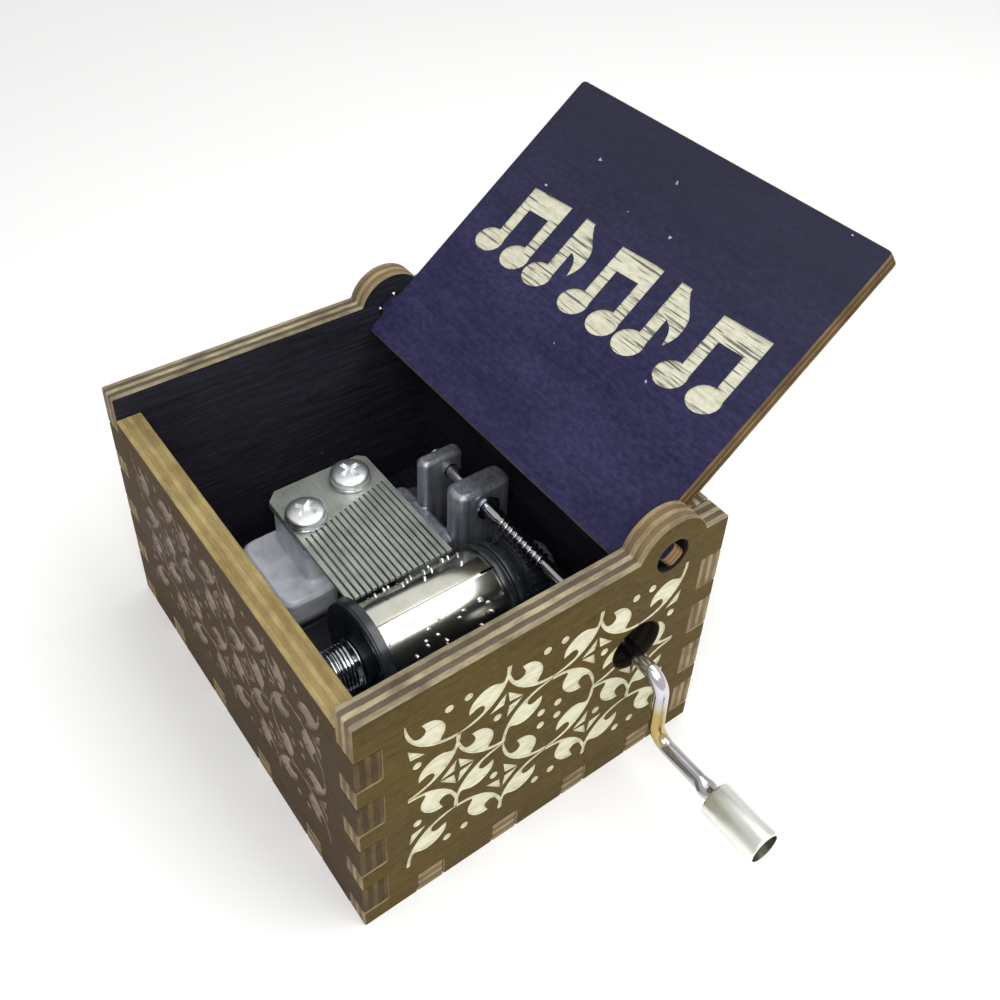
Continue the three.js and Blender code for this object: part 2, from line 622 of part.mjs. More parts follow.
// The knob is a thin sleeve with a flared open end.
const KNOB_BORE = WIRE_RADIUS + 0.3;
const knobProfile = [
  [KNOB_BORE, KNOB_START], [KNOB_RADIUS - 0.2, KNOB_START], [KNOB_RADIUS - 0.05, KNOB_START + 0.3],
  [KNOB_RADIUS - 0.05, KNOB_END - 1.2], [KNOB_RADIUS, KNOB_END - 0.6], [KNOB_RADIUS, KNOB_END - 0.1],
  [KNOB_RADIUS - 0.15, KNOB_END], [KNOB_RADIUS - 0.35, KNOB_END], [KNOB_RADIUS - 0.4, KNOB_END - 2.2],
  [KNOB_BORE, KNOB_END - 2.2], [KNOB_BORE, KNOB_START],
];
piece('crank_knob', turnedX(knobProfile, 24).translate(0, KNOB_Y, KNOB_Z), NICKEL);

export default musicBox;
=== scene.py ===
"""Hand crank music box: the looks of each piece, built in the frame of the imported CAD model.

Sizes are in millimetres and become metres when a piece is made. +X is the crank side,
-Y the front, +Z up.
"""
import json
import math
import random

import bmesh
import bpy
from mathutils import Matrix, Vector
from mathutils.geometry import delaunay_2d_cdt


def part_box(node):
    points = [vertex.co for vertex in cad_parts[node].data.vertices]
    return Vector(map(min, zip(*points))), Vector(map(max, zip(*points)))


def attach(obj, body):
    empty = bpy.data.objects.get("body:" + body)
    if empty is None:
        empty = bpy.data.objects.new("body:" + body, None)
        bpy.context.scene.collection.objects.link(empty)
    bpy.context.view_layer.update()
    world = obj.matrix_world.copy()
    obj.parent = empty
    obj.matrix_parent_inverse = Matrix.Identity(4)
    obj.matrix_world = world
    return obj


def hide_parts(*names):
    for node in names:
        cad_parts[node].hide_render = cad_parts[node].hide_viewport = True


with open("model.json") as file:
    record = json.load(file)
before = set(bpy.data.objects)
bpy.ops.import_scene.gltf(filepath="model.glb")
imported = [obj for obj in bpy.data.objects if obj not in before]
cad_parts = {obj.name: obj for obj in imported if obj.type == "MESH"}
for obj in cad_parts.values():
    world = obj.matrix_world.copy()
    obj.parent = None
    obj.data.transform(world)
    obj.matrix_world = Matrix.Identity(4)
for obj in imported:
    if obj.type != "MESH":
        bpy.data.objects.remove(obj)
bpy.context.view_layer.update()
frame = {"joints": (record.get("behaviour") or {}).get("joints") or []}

MM = 0.001
PI = math.pi


# ------------------------------------------------------------------ places from the frame
def span(node):
    """Lowest and highest corner of a CAD node, in millimetres."""
    low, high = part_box(node)
    return low / MM, high / MM


def middle_xy(node):
    low, high = span(node)
    return (low.x + high.x) / 2, (low.y + high.y) / 2


JOINTS = {joint["name"]: joint for joint in frame["joints"]}
HINGE = Vector(JOINTS["lid_hinge"]["pos_m"]) / MM
SHAFT = Vector(JOINTS["crank_turn"]["pos_m"]) / MM
KNOB = Vector(JOINTS["knob_spin"]["pos_m"]) / MM
BARREL = Vector(JOINTS["barrel_turn"]["pos_m"]) / MM
LID_OPEN = math.radians(JOINTS["lid_hinge"]["range_deg"][1])

HALF_W = span("right_side_panel")[1].x
HALF_D = span("right_side_panel")[1].y
PLY = HALF_W - span("right_side_panel")[0].x
INNER_W = HALF_W - PLY
INNER_D = HALF_D - PLY
HEIGHT = span("back_panel")[1].z
FRONT_HEIGHT = span("front_panel")[1].z

KERF = 0.1
TAB_HEIGHT = 5.1
TAB_PITCH = 8.4
TAB_FIRST = 2.95
TAB_COUNT = 4
FOOT_TAB = 3.6
SIDE_FOOT_TABS = (-16.7, -5.6, 5.6, 16.7)
FRONT_FOOT_TABS = (-19.8, -6.6, 6.6, 19.8)
EAR_Y, EAR_Z = 17.1, 37.6
EAR_RADIUS = 5.5
EAR_HOLE = 2.35
CRANK_HOLE = (13.4, 24.0, 3.6)
LID_FRONT = -43.8
LID_REAR = 4.9
LID_HALF = 28.45
LID_THICK = 2.5
PINTLE = 1.35


# ------------------------------------------------------------------ outlines
CURVE_STEPS = 4  # between two points of a smooth curve
LEAST_TURN = 25  # degrees: flatter corners stay sharp


def arc(centre, radius, start, end, steps):
    """Points on a circle from one angle to another, in degrees."""
    turns = [math.radians(start + (end - start) * i / steps) for i in range(steps + 1)]
    return [(centre[0] + radius * math.cos(a), centre[1] + radius * math.sin(a)) for a in turns]


def circle(centre, radius, sides=32):
    return arc(centre, radius, 0, 360, sides)[:-1]


def smooth_curve(points):
    """A Catmull-Rom curve through the points, ends included."""
    padded = [Vector(p) for p in (points[0], *points, points[-1])]
    out = []
    for a, b, c, d in zip(padded, padded[1:], padded[2:], padded[3:]):
        for i in range(CURVE_STEPS):
            t = i / CURVE_STEPS
            out.append(0.5 * (2 * b + (c - a) * t + (2 * a - 5 * b + 4 * c - d) * t * t
                              + (3 * b - a - 3 * c + d) * t ** 3))
    return [tuple(p) for p in out] + [tuple(points[-1])]


def rounded(points, radius, closed=True, steps=3):
    """Rounds the corners of an outline or of an open profile."""
    points = [Vector(p) for p in points]
    out = []
    for i, corner in enumerate(points):
        if not closed and i in (0, len(points) - 1):
            out.append(corner)
            continue
        before = points[i - 1] - corner
        after = points[(i + 1) % len(points)] - corner
        turn = PI - before.angle(after)
        if turn < math.radians(LEAST_TURN):
            out.append(corner)
            continue
        back = min(radius * math.tan(turn / 2), before.length * 0.45, after.length * 0.45)
        start = corner + before.normalized() * back
        end = corner + after.normalized() * back
        for k in range(steps + 1):
            t = k / steps
            out.append(start * (1 - t) ** 2 + corner * 2 * t * (1 - t) + end * t * t)
    return [tuple(p) for p in out]


def notched(start, end, cuts, depth):
    """Points from start towards end. Each cut goes depth to the left; a negative depth is a tab."""
    start, end = Vector(start), Vector(end)
    along = (end - start).normalized()
    aside = Vector((-along.y, along.x)) * depth
    points = [start]
    for low, high in cuts:
        near, far = start + along * low, start + along * high
        points += [near, near + aside, far + aside, far]
    return [tuple(p) for p in points]


def notched_box(low, high, cuts, depths):
    """A rectangle whose four sides, from the lowest round to the left, are notched."""
    corners = [low, (high[0], low[1]), high, (low[0], high[1])]
    sides = zip(corners, [*corners[1:], low], cuts, depths)
    return [point for side in sides for point in notched(*side)]


def ring(bore, outer, low, high, corner, steps=3):
    """The profile of a plain ring."""
    return rounded([(bore, low), (outer, low), (outer, high), (bore, high)], corner, steps=steps)


def area(loop):
    return sum(a[0] * b[1] - b[0] * a[1] for a, b in zip(loop, [*loop[1:], loop[0]])) / 2


def turned_left(loop):
    return loop if area(loop) > 0 else loop[::-1]


def inset(loop, distance):
    """Moves a loop to its left by distance."""
    if distance == 0:
        return loop
    out = []
    for i, p in enumerate(loop):
        p = Vector(p)
        before = (p - Vector(loop[i - 1])).normalized()
        after = (Vector(loop[(i + 1) % len(loop)]) - p).normalized()
        left = Vector((-before.y - after.y, before.x + after.x))
        share = max(left.length / 2, 0.3)
        out.append(tuple(p + left.normalized() * (distance / share)))
    return out


# ------------------------------------------------------------------ mesh building
class Build:
    """Gathers the faces of one piece, in millimetres."""

    def __init__(self):
        self.points, self.faces, self.slots, self.grain = [], [], [], []

    def add(self, points, faces, slot=0, place=None, shift=(0, 0)):
        first = len(self.points)
        for point in map(Vector, points):
            self.grain.append((point.x + shift[0], point.y + shift[1], point.z))
            self.points.append(place @ point if place else point)
        self.faces += [[first + i for i in face] for face in faces]
        self.slots += slot if isinstance(slot, list) else [slot] * len(faces)

    def mesh(self, name, sharp=30):
        data = bpy.data.meshes.new(name)
        data.from_pydata([p * MM for p in self.points], [], self.faces)
        data.polygons.foreach_set("material_index", self.slots)
        grain = data.attributes.new("grain", "FLOAT_VECTOR", "POINT")
        grain.data.foreach_set("vector", [x for g in self.grain for x in g])
        work = bmesh.new()
        work.from_mesh(data)
        bmesh.ops.remove_doubles(work, verts=work.verts, dist=0.0002 * MM)
        work.to_mesh(data)
        work.free()
        data.shade_smooth()
        data.set_sharp_from_angle(angle=math.radians(sharp))
        return data


def linked(name, data):
    """A new object, put in the scene."""
    item = bpy.data.objects.new(name, data)
    bpy.context.scene.collection.objects.link(item)
    return item


def as_mesh(source, name):
    return source.mesh(name) if isinstance(source, Build) else source


def show(source, node, form, materials, body, stands_in=True):
    """Makes the visible piece node_form from a Build or a mesh. It rides on a body and
    stands in for the CAD node, unless it is an extra."""
    name = f"{node}_{form}"
    data = as_mesh(source, name)
    item = linked(name, data)
    for material in materials:
        data.materials.append(material)
    nodes = [node] if stands_in else []
    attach(item, body)
    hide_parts(*nodes)


def axes(origin, u, v):
    """The matrix that takes local u, v and their common normal to the box's frame."""
    u, v = Vector(u), Vector(v)
    turned = Matrix((u, v, u.cross(v))).transposed().to_4x4()
    return Matrix.Translation(origin) @ turned


def cap(build, loops, height, up, slot, place, shift, art=(), depth=0.0, art_slot=0, clear=()):
    """Fills the outline loops[0] less its holes at one height. Art shapes are sunk by depth,
    except inside the clear shapes."""
    groups = [turned_left(list(loop)) for loop in (*loops, *clear, *art)]
    holes = set(range(1, len(loops)))
    kept_plain = set(range(len(loops), len(loops) + len(clear)))
    points, polygons = [], []
    for group in groups:
        polygons.append(list(range(len(points), len(points) + len(group))))
        points += [Vector(p) for p in group]
    found, _, triangles, _, _, owners = delaunay_2d_cdt(points, [], polygons, 1, 1e-5)
    first_art = len(loops) + len(clear)
    plain, sunk = [], []
    for triangle, owner in zip(triangles, owners):
        owner = set(owner)
        if 0 not in owner or owner & holes:
            continue
        deep = not owner & kept_plain and any(i >= first_art for i in owner)
        (sunk if deep else plain).append(triangle)
    below = height - depth if up else height + depth
    edges = {(a, b) for t in sunk for a, b in zip(t, [*t[1:], t[0]])}
    walls = [(a, b) for a, b in edges if (b, a) not in edges]
    count = len(found)
    both = [(*p, height) for p in found] + [(*p, below) for p in found]
    flip = (lambda face: face) if up else (lambda face: face[::-1])
    build.add(both, [flip(list(t)) for t in plain], slot, place, shift)
    first = len(build.points) - 2 * count
    for faces in ([flip([i + count for i in t]) for t in sunk],
                  [flip([a, b, b + count, a + count]) for a, b in walls]):
        build.faces += [[first + i for i in face] for face in faces]
        build.slots += [art_slot] * len(faces)


def slab(build, outline, profile, place, holes=(), slots=(0, 0, 0), shift=(0, 0), **top_and_bottom):
    """A flat piece: profile is (height, inset) pairs up its edge, slots are those of its
    lower face, edge and upper face. The edge's may be a function of the middle of a stretch
    of edge and of whether it bounds a hole. `top` and `bottom` are what cap() takes for art."""
    loops = [turned_left(outline)] + [turned_left(hole)[::-1] for hole in holes]
    for number, loop in enumerate(loops):
        rings = [[(*p, height) for p in inset(loop, back)] for height, back in profile]
        size = len(loop)
        walls = slots[1]
        if callable(walls):
            middles = [(Vector(p) + Vector(q)) / 2 for p, q in zip(loop, [*loop[1:], loop[0]])]
            walls = [slots[1](middle, number > 0) for middle in middles] * (len(rings) - 1)
        faces = [
            [k * size + i, k * size + (i + 1) % size, (k + 1) * size + (i + 1) % size, (k + 1) * size + i]
            for k in range(len(rings) - 1) for i in range(size)
        ]
        build.add([p for ring in rings for p in ring], faces, walls, place, shift)
    for end, up, slot, key in ((0, False, slots[0], "bottom"), (-1, True, slots[2], "top")):
        height, back = profile[end]
        edge = [inset(loop, back) for loop in loops]
        cap(build, edge, height, up, slot, place, shift, **top_and_bottom.get(key, {}))


def revolve(build, profile, place, sides=64):
    """Turns a profile of (radius, height) points round local Z. It closes on itself
    unless it starts and ends on the axis."""
    on_axis = profile[0][0] < 1e-6
    points, rows = [], []
    for radius, height in profile:
        count = 1 if radius < 1e-6 else sides
        rows.append([len(points) + i % count for i in range(sides)])
        for i in range(count):
            angle = 2 * PI * i / sides
            points.append((radius * math.cos(angle), radius * math.sin(angle), height))
    faces = []
    pairs = list(zip(rows, rows[1:])) + ([] if on_axis else [(rows[-1], rows[0])])
    for low, high in pairs:
        for i in range(sides):
            j = (i + 1) % sides
            face = [low[i], low[j], high[j], high[i]]
            faces.append(list(dict.fromkeys(face)))
    build.add(points, [f for f in faces if len(f) > 2], 0, place)


def tube(build, path, radius, sides=16, widths=None):
    """A bar with flat ends along a path. widths(point) scales its two half widths."""
    path = [Vector(p) for p in path]
    ways = [(b - a).normalized() for a, b in zip(path, path[1:])]
    ways = [ways[0]] + [(a + b).normalized() for a, b in zip(ways, ways[1:])] + [ways[-1]]
    across = ways[0].orthogonal().normalized() if abs(ways[0].x) < 0.9 else Vector((0, 1, 0))
    points, faces = [], []
    for centre, way in zip(path, ways):
        across = (across - way * across.dot(way)).normalized()
        up = way.cross(across)
        wide, high = widths(centre) if widths else (1, 1)
        for i in range(sides):
            angle = 2 * PI * i / sides
            points.append(centre + across * (radius * wide * math.cos(angle))
                          + up * (radius * high * math.sin(angle)))
    for k in range(len(path) - 1):
        for i in range(sides):
            j = (i + 1) % sides
            faces.append([k * sides + i, k * sides + j, (k + 1) * sides + j, (k + 1) * sides + i])
    last = (len(path) - 1) * sides
    faces += [list(range(sides))[::-1], list(range(last, last + sides))]
    build.add(points, faces)


def block(build, low, high, bevel=0.1, slot=0):
    """A box with bevelled edges between two corners."""
    outline = rounded([(low[0], low[1]), (high[0], low[1]), (high[0], high[1]), (low[0], high[1])],
                      bevel, steps=2)
    slab(build, outline, [(low[2], bevel), (low[2] + bevel, 0), (high[2] - bevel, 0), (high[2], bevel)],
         None, slots=(slot, slot, slot))


def modified(data, name, *steps):
    """The mesh after modifiers, each given as (type, settings)."""
    item = linked(name, data)
    for kind, settings in steps:
        modifier = item.modifiers.new(kind, kind)
        for key, value in settings.items():
            setattr(modifier, key, value)
    graph = bpy.context.evaluated_depsgraph_get()
    made = bpy.data.meshes.new_from_object(item.evaluated_get(graph))
    made.name = name
    bpy.data.objects.remove(item)
    return made


def carved(source, name, cutter, sharp=30):
    """The piece's mesh less a cutter, which is a Build."""
    tool = linked("cutter", cutter.mesh("cutter"))
    settings = {"operation": "DIFFERENCE", "solver": "EXACT", "use_self": True, "object": tool}
    made = modified(as_mesh(source, name), name, ("BOOLEAN", settings))
    bpy.data.objects.remove(tool)
    made.shade_smooth()
    made.set_sharp_from_angle(angle=math.radians(sharp))
    return made


# ------------------------------------------------------------------ material building
def linear(code):
    """A Blender colour from a web colour such as #8a7b72."""
    parts = [int(code[i:i + 2], 16) / 255 for i in (1, 3, 5)]
    return (*[c / 12.92 if c <= 0.04045 else ((c + 0.055) / 1.055) ** 2.4 for c in parts], 1)


class Finish:
    """One material: a Principled shader and the nodes that feed it."""

    def __init__(self, name, **settings):
        self.material = bpy.data.materials.new(name)
        self.material.use_nodes = True
        self.tree = self.material.node_tree
        self.shader = self.tree.nodes["Principled BSDF"]
        for key, value in settings.items():
            self.shader.inputs[key.replace("_", " ")].default_value = value

    def put(self, socket, value):
        if isinstance(value, bpy.types.NodeSocket):
            self.tree.links.new(value, socket)
        else:
            socket.default_value = value

    def node(self, kind, *inputs, output=0, **settings):
        made = self.tree.nodes.new("ShaderNode" + kind)
        for key, value in settings.items():
            setattr(made, key, value)
        for i, value in enumerate(inputs):
            if value is not None:
                self.put(made.inputs[i], value)
        return made.outputs[output]

    def grain(self, *scale):
        """Millimetres along the grain, across it and through the board, each scaled."""
        where = self.node("Attribute", attribute_name="grain", output=1)
        return self.node("VectorMath", where, scale, operation="MULTIPLY")

    def space(self, *scale):
        """Millimetres in the box's frame, each scaled."""
        where = self.node("TexCoord", output=3)
        return self.node("VectorMath", where, [s / MM for s in scale], operation="MULTIPLY")

    def noise(self, where, scale=1.0, detail=4.0, rough=0.55, distortion=0.0):
        made = self.tree.nodes.new("ShaderNodeTexNoise")
        self.put(made.inputs["Vector"], where)
        made.inputs["Scale"].default_value = scale
        made.inputs["Detail"].default_value = detail
        made.inputs["Roughness"].default_value = rough
        made.inputs["Distortion"].default_value = distortion
        return made.outputs[0]

    def ramp(self, value, *stops):
        """Colours, given as web codes or greys from 0 to 1, at places from 0 to 1."""
        made = self.tree.nodes.new("ShaderNodeValToRGB")
        self.put(made.inputs[0], value)
        ramp = made.color_ramp
        while len(ramp.elements) < len(stops):
            ramp.elements.new(0.5)
        for element, (place, colour) in zip(ramp.elements, stops):
            element.position = place
            element.color = linear(colour) if isinstance(colour, str) else (colour, colour, colour, 1)
        return made.outputs[0]

    def mix(self, factor, a, b):
        made = self.tree.nodes.new("ShaderNodeMix")
        made.data_type = "RGBA"
        for socket, value in ((0, factor), (6, a), (7, b)):
            self.put(made.inputs[socket], linear(value) if isinstance(value, str) else value)
        return made.outputs[2]

    def math(self, operation, a, b=0.0):
        return self.node("Math", a, b, operation=operation)

    def times(self, a, b):
        return self.math("MULTIPLY", a, b)

    def weigh(self, a, share, b):
        """A share of one value and the rest of another."""
        return self.math("ADD", self.times(a, share), self.times(b, 1 - share))

    def range(self, value, low, high):
        """Stretches a value from 0..1 to low..high."""
        return self.node("MapRange", value, 0.0, 1.0, low, high)

    def done(self, colour=None, roughness=None, height=None, depth=0.02):
        """Links what varies. depth is the relief in millimetres."""
        if colour is not None:
            self.put(self.shader.inputs["Base Color"], colour)
        if roughness is not None:
            self.put(self.shader.inputs["Roughness"], roughness)
        if height is not None:
            bump = self.tree.nodes.new("ShaderNodeBump")
            bump.inputs["Distance"].default_value = depth * MM
            self.put(bump.inputs["Height"], height)
            self.put(self.shader.inputs["Normal"], bump.outputs[0])
        return self.material


# ------------------------------------------------------------------ wood
def stained_wood(name, dark, base, light, roughness, pores, grain_share=0.6, bright_specks=0.0, far=None):
    """Stained and sealed ply face: fibres along the grain, pores, and mottled stain.
    far is (colour, low, high): the colour shifts three quarters of the way to it between two places across
    the grain."""
    f = Finish(name, Specular_IOR_Level=0.1)
    fibres = f.noise(f.grain(0.05, 1.1, 0.6), 2.2, 6, 0.62, 0.6)
    blotches = f.noise(f.grain(0.05, 0.11, 0.1), 1.0, 3)
    mottle = f.noise(f.grain(0.6, 0.9, 0.6), 1.6, 5, 0.7)
    short_pores = f.noise(f.grain(0.35, 4.5, 1.0), 1.3, 3, 0.5)
    pore_mask = f.ramp(short_pores, (0.60, 0.0), (0.68, 1.0))
    tone = f.weigh(fibres, grain_share, f.weigh(mottle, 0.6, blotches))
    colour = f.ramp(tone, (0.34, dark), (0.5, base), (0.66, light))
    if far:
        across = f.node("SeparateXYZ", f.grain(1, 1, 1), output=1)
        share = f.node("MapRange", across, far[1], far[2], 0.0, 1.0)
        colour = f.mix(f.times(share, 0.75), colour, far[0])
    colour = f.mix(f.times(pore_mask, pores), colour, dark)
    if bright_specks:
        specks = f.ramp(f.noise(f.grain(0.5, 0.6, 0.5), 1.1, 2, 0.4), (0.775, 0.0), (0.785, 1.0))
        colour = f.mix(f.times(specks, bright_specks), colour, "#b9b7c4")
    uneven = f.math("ADD", blotches, f.times(pore_mask, 0.3))
    rough = f.range(uneven, roughness - 0.12, roughness + 0.14)
    height = f.math("SUBTRACT", f.times(fibres, 0.5), f.times(pore_mask, 0.6))
    return f.done(colour, rough, height, 0.025)


def ply_edge(name, pale, dark, char, thick=PLY):
    """Laser cut edge: five plies whose fibres run along and across the cut by turns,
    darkened and streaked by the laser."""
    f = Finish(name, Specular_IOR_Level=0.12)
    where = f.tree.nodes.new("ShaderNodeSeparateXYZ")
    f.put(where.inputs[0], f.grain(1, 1, 1))
    wobble = f.times(f.math("SUBTRACT", f.noise(f.grain(0.5, 0.5, 0.2), 1.0, 3), 0.5), 0.16)
    through = f.math("ADD", where.outputs[2], wobble)
    layer = f.math("DIVIDE", f.math("ADD", through, thick / 2), thick)
    bands = f.ramp(layer, (0.0, 0.62), (0.17, 0.62), (0.215, 0.12), (0.39, 0.10), (0.42, 0.85),
                   (0.585, 0.88), (0.62, 0.10), (0.79, 0.14), (0.83, 0.70), (1.0, 0.58))
    fibres = f.noise(f.grain(0.5, 0.5, 4.0), 2.0, 5, 0.65)
    burnt = f.ramp(f.noise(f.grain(0.22, 0.22, 0.5), 1.0, 4, 0.6), (0.38, 0.0), (0.66, 1.0))
    colour = f.mix(bands, dark, pale)
    colour = f.mix(f.range(fibres, 0.0, 0.75), colour, char)
    colour = f.mix(f.times(burnt, 0.6), colour, char)
    rough = f.range(fibres, 0.55, 0.9)
    height = f.math("ADD", f.times(bands, 0.5), fibres)
    return f.done(colour, rough, height, 0.06)


def engraved_wood(name, pale, mid, dark, lines):
    """The floor of an engraving: bare fibre with dark grain lines left by the laser."""
    f = Finish(name, Specular_IOR_Level=0.12)
    fibres = f.noise(f.grain(0.16, 2.4, 1.0), 1.5, 5, 0.6, 0.3)
    streaks = f.ramp(f.noise(f.grain(0.09, 2.0, 1.0), 1.25, 3, 0.55), (0.56, 0.0), (0.63, 1.0))
    mottle = f.noise(f.grain(0.7, 1.2, 1.0), 0.9, 3)
    colour = f.ramp(f.weigh(fibres, 0.5, mottle), (0.36, mid), (0.56, pale))
    colour = f.mix(f.times(streaks, lines), colour, dark)
    return f.done(colour, f.range(fibres, 0.7, 0.95), f.math("SUBTRACT", fibres, streaks), 0.05)


CASE_FACE = stained_wood("case_face", "#37290b", "#4f3f13", "#5e4e20", 0.55, 0.35, 0.35)
# the front panel's face: a darker copy of the case face, painted shade for the side that faces away from the
# light
FRONT_FACE_SHADED = stained_wood("front_face_shaded", "#291909", "#3e2b10", "#4f3a1c", 0.6, 0.35, 0.45)
# the lid's inner face turns greyer towards its front edge (far)
LID_FACE = stained_wood("lid_face", "#1a1932", "#2b2947", "#3c3a5b", 0.6, 0.2, 0.22, 0.7, ("#282935", 16, -8))
# the walls inside the case: a darker, greyer copy of the lid's navy stain, partly the real dark stain and
# partly painted shade
INNER_FACE_SHADED = stained_wood("inner_face_shaded", "#15151b", "#25252d", "#34343d", 0.55, 0.4, 0.6, 0.1)
CASE_EDGE = ply_edge("case_edge", "#c4b188", "#826f54", "#4a3c2a")
CASE_TOP_EDGE = ply_edge("case_top_edge", "#d8cca4", "#5f5047", "#3b3029")
FRONT_EDGE = ply_edge("front_edge", "#7b6743", "#54442d", "#302418")
FRONT_TOP_EDGE = ply_edge("front_top_edge", "#c3b17c", "#a28f5c", "#6a5838")
LID_EDGE = ply_edge("lid_edge", "#a08452", "#5c4728", "#2f2418", LID_THICK)
PINTLE_END = ply_edge("pintle_end", "#a8835c", "#7d5f42", "#4e3a26", LID_THICK)
BURNT_EDGE = ply_edge("burnt_edge", "#3d3327", "#1e1811", "#0b0907")
CASE_ENGRAVED = engraved_wood("case_engraved", "#dbd8c0", "#c5c1a4", "#7d765c", 0.12)
# the front panel's engraving: a darker, greyer copy of the case engraving, painted shade
FRONT_ENGRAVED_SHADED = engraved_wood("front_engraved_shaded", "#94857a", "#77685e", "#46372a", 0.45)
LID_ENGRAVED = engraved_wood("lid_engraved", "#cfcdb8", "#b3b098", "#45434a", 0.85)


# ------------------------------------------------------------------ ornament
# A lattice of circles. Each drawn quarter of a circle holds a leaf on the ring and a dot;
# the concave fields between circles hold a rosette of four small triangles.
RING = 6.6
RING_STEPS = 14
LEAF_BACK = [(-4.7, -1.45), (-3.9, -1.45), (-3.0, -1.8), (-2.2, -2.6), (-1.72, -3.6),
             (-1.74, -4.6), (-2.15, -5.45), (-2.3, -5.9), (-1.95, -6.25), (-1.3, -6.46)]
LEAF_BITE = [(-5.85, -3.0), (-5.3, -3.45), (-4.75, -3.5), (-4.3, -3.15), (-4.2, -2.65),
             (-4.4, -2.1), (-4.7, -1.45)]
QUARTERS = {"LL": 0, "LR": 90, "UR": 180, "UL": 270}
ROSETTE = [(2.3, 0.12), (0.12, 2.3), (0.4, 0.4)]


def spun(points, centre, degrees, scale):
    c, s = math.cos(math.radians(degrees)) * scale, math.sin(math.radians(degrees)) * scale
    return [(centre[0] + c * x - s * y, centre[1] + s * x + c * y) for x, y in points]


def tapered_ring(start, end, width):
    """A stretch of the ring that is thin where it springs from a leaf's tip."""
    def edge(side):
        out = []
        for i in range(RING_STEPS + 1):
            taper = 0.3 + 0.7 * math.sin(PI * min(2 * i / RING_STEPS, 0.5))
            angle = math.radians(start + (end - start) * i / RING_STEPS)
            radius = RING + 0.14 + side * width / 2 * taper
            out.append((radius * math.cos(angle), radius * math.sin(angle)))
        return out
    return edge(1) + edge(-1)[::-1]


def quarter():
    leaf = smooth_curve(LEAF_BACK) + arc((0, 0), RING, 258.6, 207, 8) + smooth_curve(LEAF_BITE)[:-1]
    return [leaf, tapered_ring(180.6, 269.8, 0.48), circle((-1.22, -1.29), 0.56, 14)]


def ornament(columns, centre, pitch, row_pitch, scale):
    """The lattice: two rows of rosettes and circles by turns, with half circles above and
    below."""
    shapes = []

    def at(column, row):
        return (centre[0] + (column - (columns - 1) / 2) * pitch, centre[1] + row * row_pitch)

    def draw(column, row, quarters):
        for name in quarters.split():
            shapes.extend(spun(shape, at(column, row), QUARTERS[name], scale) for shape in quarter())

    def triangles(column, row, quarters):
        for name in quarters.split():
            shapes.append(spun(ROSETTE, at(column, row), QUARTERS[name] + 180, scale))

    drawn = set()
    for column in range(columns):
        draw(column, 1, "LL LR")
        draw(column, -1, "UL UR")
        if column % 2:
            draw(column, 0, "LL LR UR UL")
            continue
        triangles(column, 0, "LL LR UR UL")
        for side, row, name in ((-0.5, 0.5, "LR"), (0.5, 0.5, "LL"), (-0.5, -0.5, "UR"), (0.5, -0.5, "UL")):
            draw(column + side, row, name)
            drawn.add((column + side, row, name))
    for step in range(columns + 1):
        column = step - 0.5
        for row in (-0.5, 0.5):
            inside = ("LL UL " if step else "") + ("LR UR" if step < columns else "")
            free = [name for name in inside.split() if (column, row, name) not in drawn]
            triangles(column, row, " ".join(free))
    return shapes


def note_head(x):
    return spun([(2.5 * math.cos(a), 1.9 * math.sin(a)) for a in
                 (2 * PI * i / 20 for i in range(20))], (x + 2.45, 2.1), 22, 1)


def upright(x0, x1, low, high):
    return [(x0, low), (x1, low), (x1, high), (x0, high)]


NOTE_HEIGHT = 12.5
STEM = 1.9


def quaver(x):
    """A single note with a curled flag, 7.5 wide."""
    stem = x + 4.7
    outer = [(stem - 0.3, NOTE_HEIGHT), (stem + 0.9, 10.9), (stem + 2.6, 8.9), (stem + 2.9, 6.4),
             (stem + 2.0, 4.3)]
    inner = [(stem + 2.0, 4.3), (stem + 1.6, 5.9), (stem + 0.9, 6.9), (stem - 0.3, 7.5)]
    flag = smooth_curve(outer) + smooth_curve(inner)[1:]
    return [note_head(x), upright(stem - STEM, stem, 2.3, NOTE_HEIGHT), flag]


def beamed_pair(x):
    """Two notes joined by a beam, 10.6 wide."""
    first, second = x + 4.7, x + 10.6
    beam = [(first - STEM, NOTE_HEIGHT - 3.8), (second, NOTE_HEIGHT - 3.3), (second, NOTE_HEIGHT),
            (first - STEM, NOTE_HEIGHT - 0.5)]
    stems = [upright(first - STEM, first, 2.3, NOTE_HEIGHT - 1.2),
             upright(second - STEM, second, 2.3, NOTE_HEIGHT - 0.8)]
    return [note_head(x), note_head(x + 5.9), beam, *stems]


def note_row(left, base):
    """A row of engraved notes for the lid, drawn with up towards its front edge."""
    shapes, x = [], left
    for draw, width in ((beamed_pair, 10.6), (quaver, 7.5), (beamed_pair, 10.6), (quaver, 7.5),
                        (beamed_pair, 10.6)):
        shapes += draw(x)
        x += width + 0.45
    return [[(a, base - b) for a, b in shape] for shape in shapes]


# ------------------------------------------------------------------ plywood case
GROOVE = 0.035
CHAMFER = 0.12


def ply_profile(thick=PLY):
    """Up the cut edge: a chamfer at each face and a fine groove at each glue line."""
    half = thick / 2
    profile = [(-half, CHAMFER), (-half + CHAMFER, 0)]
    for k in range(1, 5):
        line = -half + thick * k / 5
        profile += [(line - 0.06, 0), (line, GROOVE), (line + 0.06, 0)]
    return profile + [(half - CHAMFER, 0), (half, CHAMFER)]


def tab_cuts(extra, top=1e9):
    lows = [TAB_FIRST + i * TAB_PITCH for i in range(TAB_COUNT)]
    return [(low - extra, min(low + TAB_HEIGHT, top) + extra) for low in lows]


def foot_cuts(centres, start, extra=0.0):
    reach = FOOT_TAB / 2 + extra
    return [(c - reach - start, c + reach - start) for c in centres]


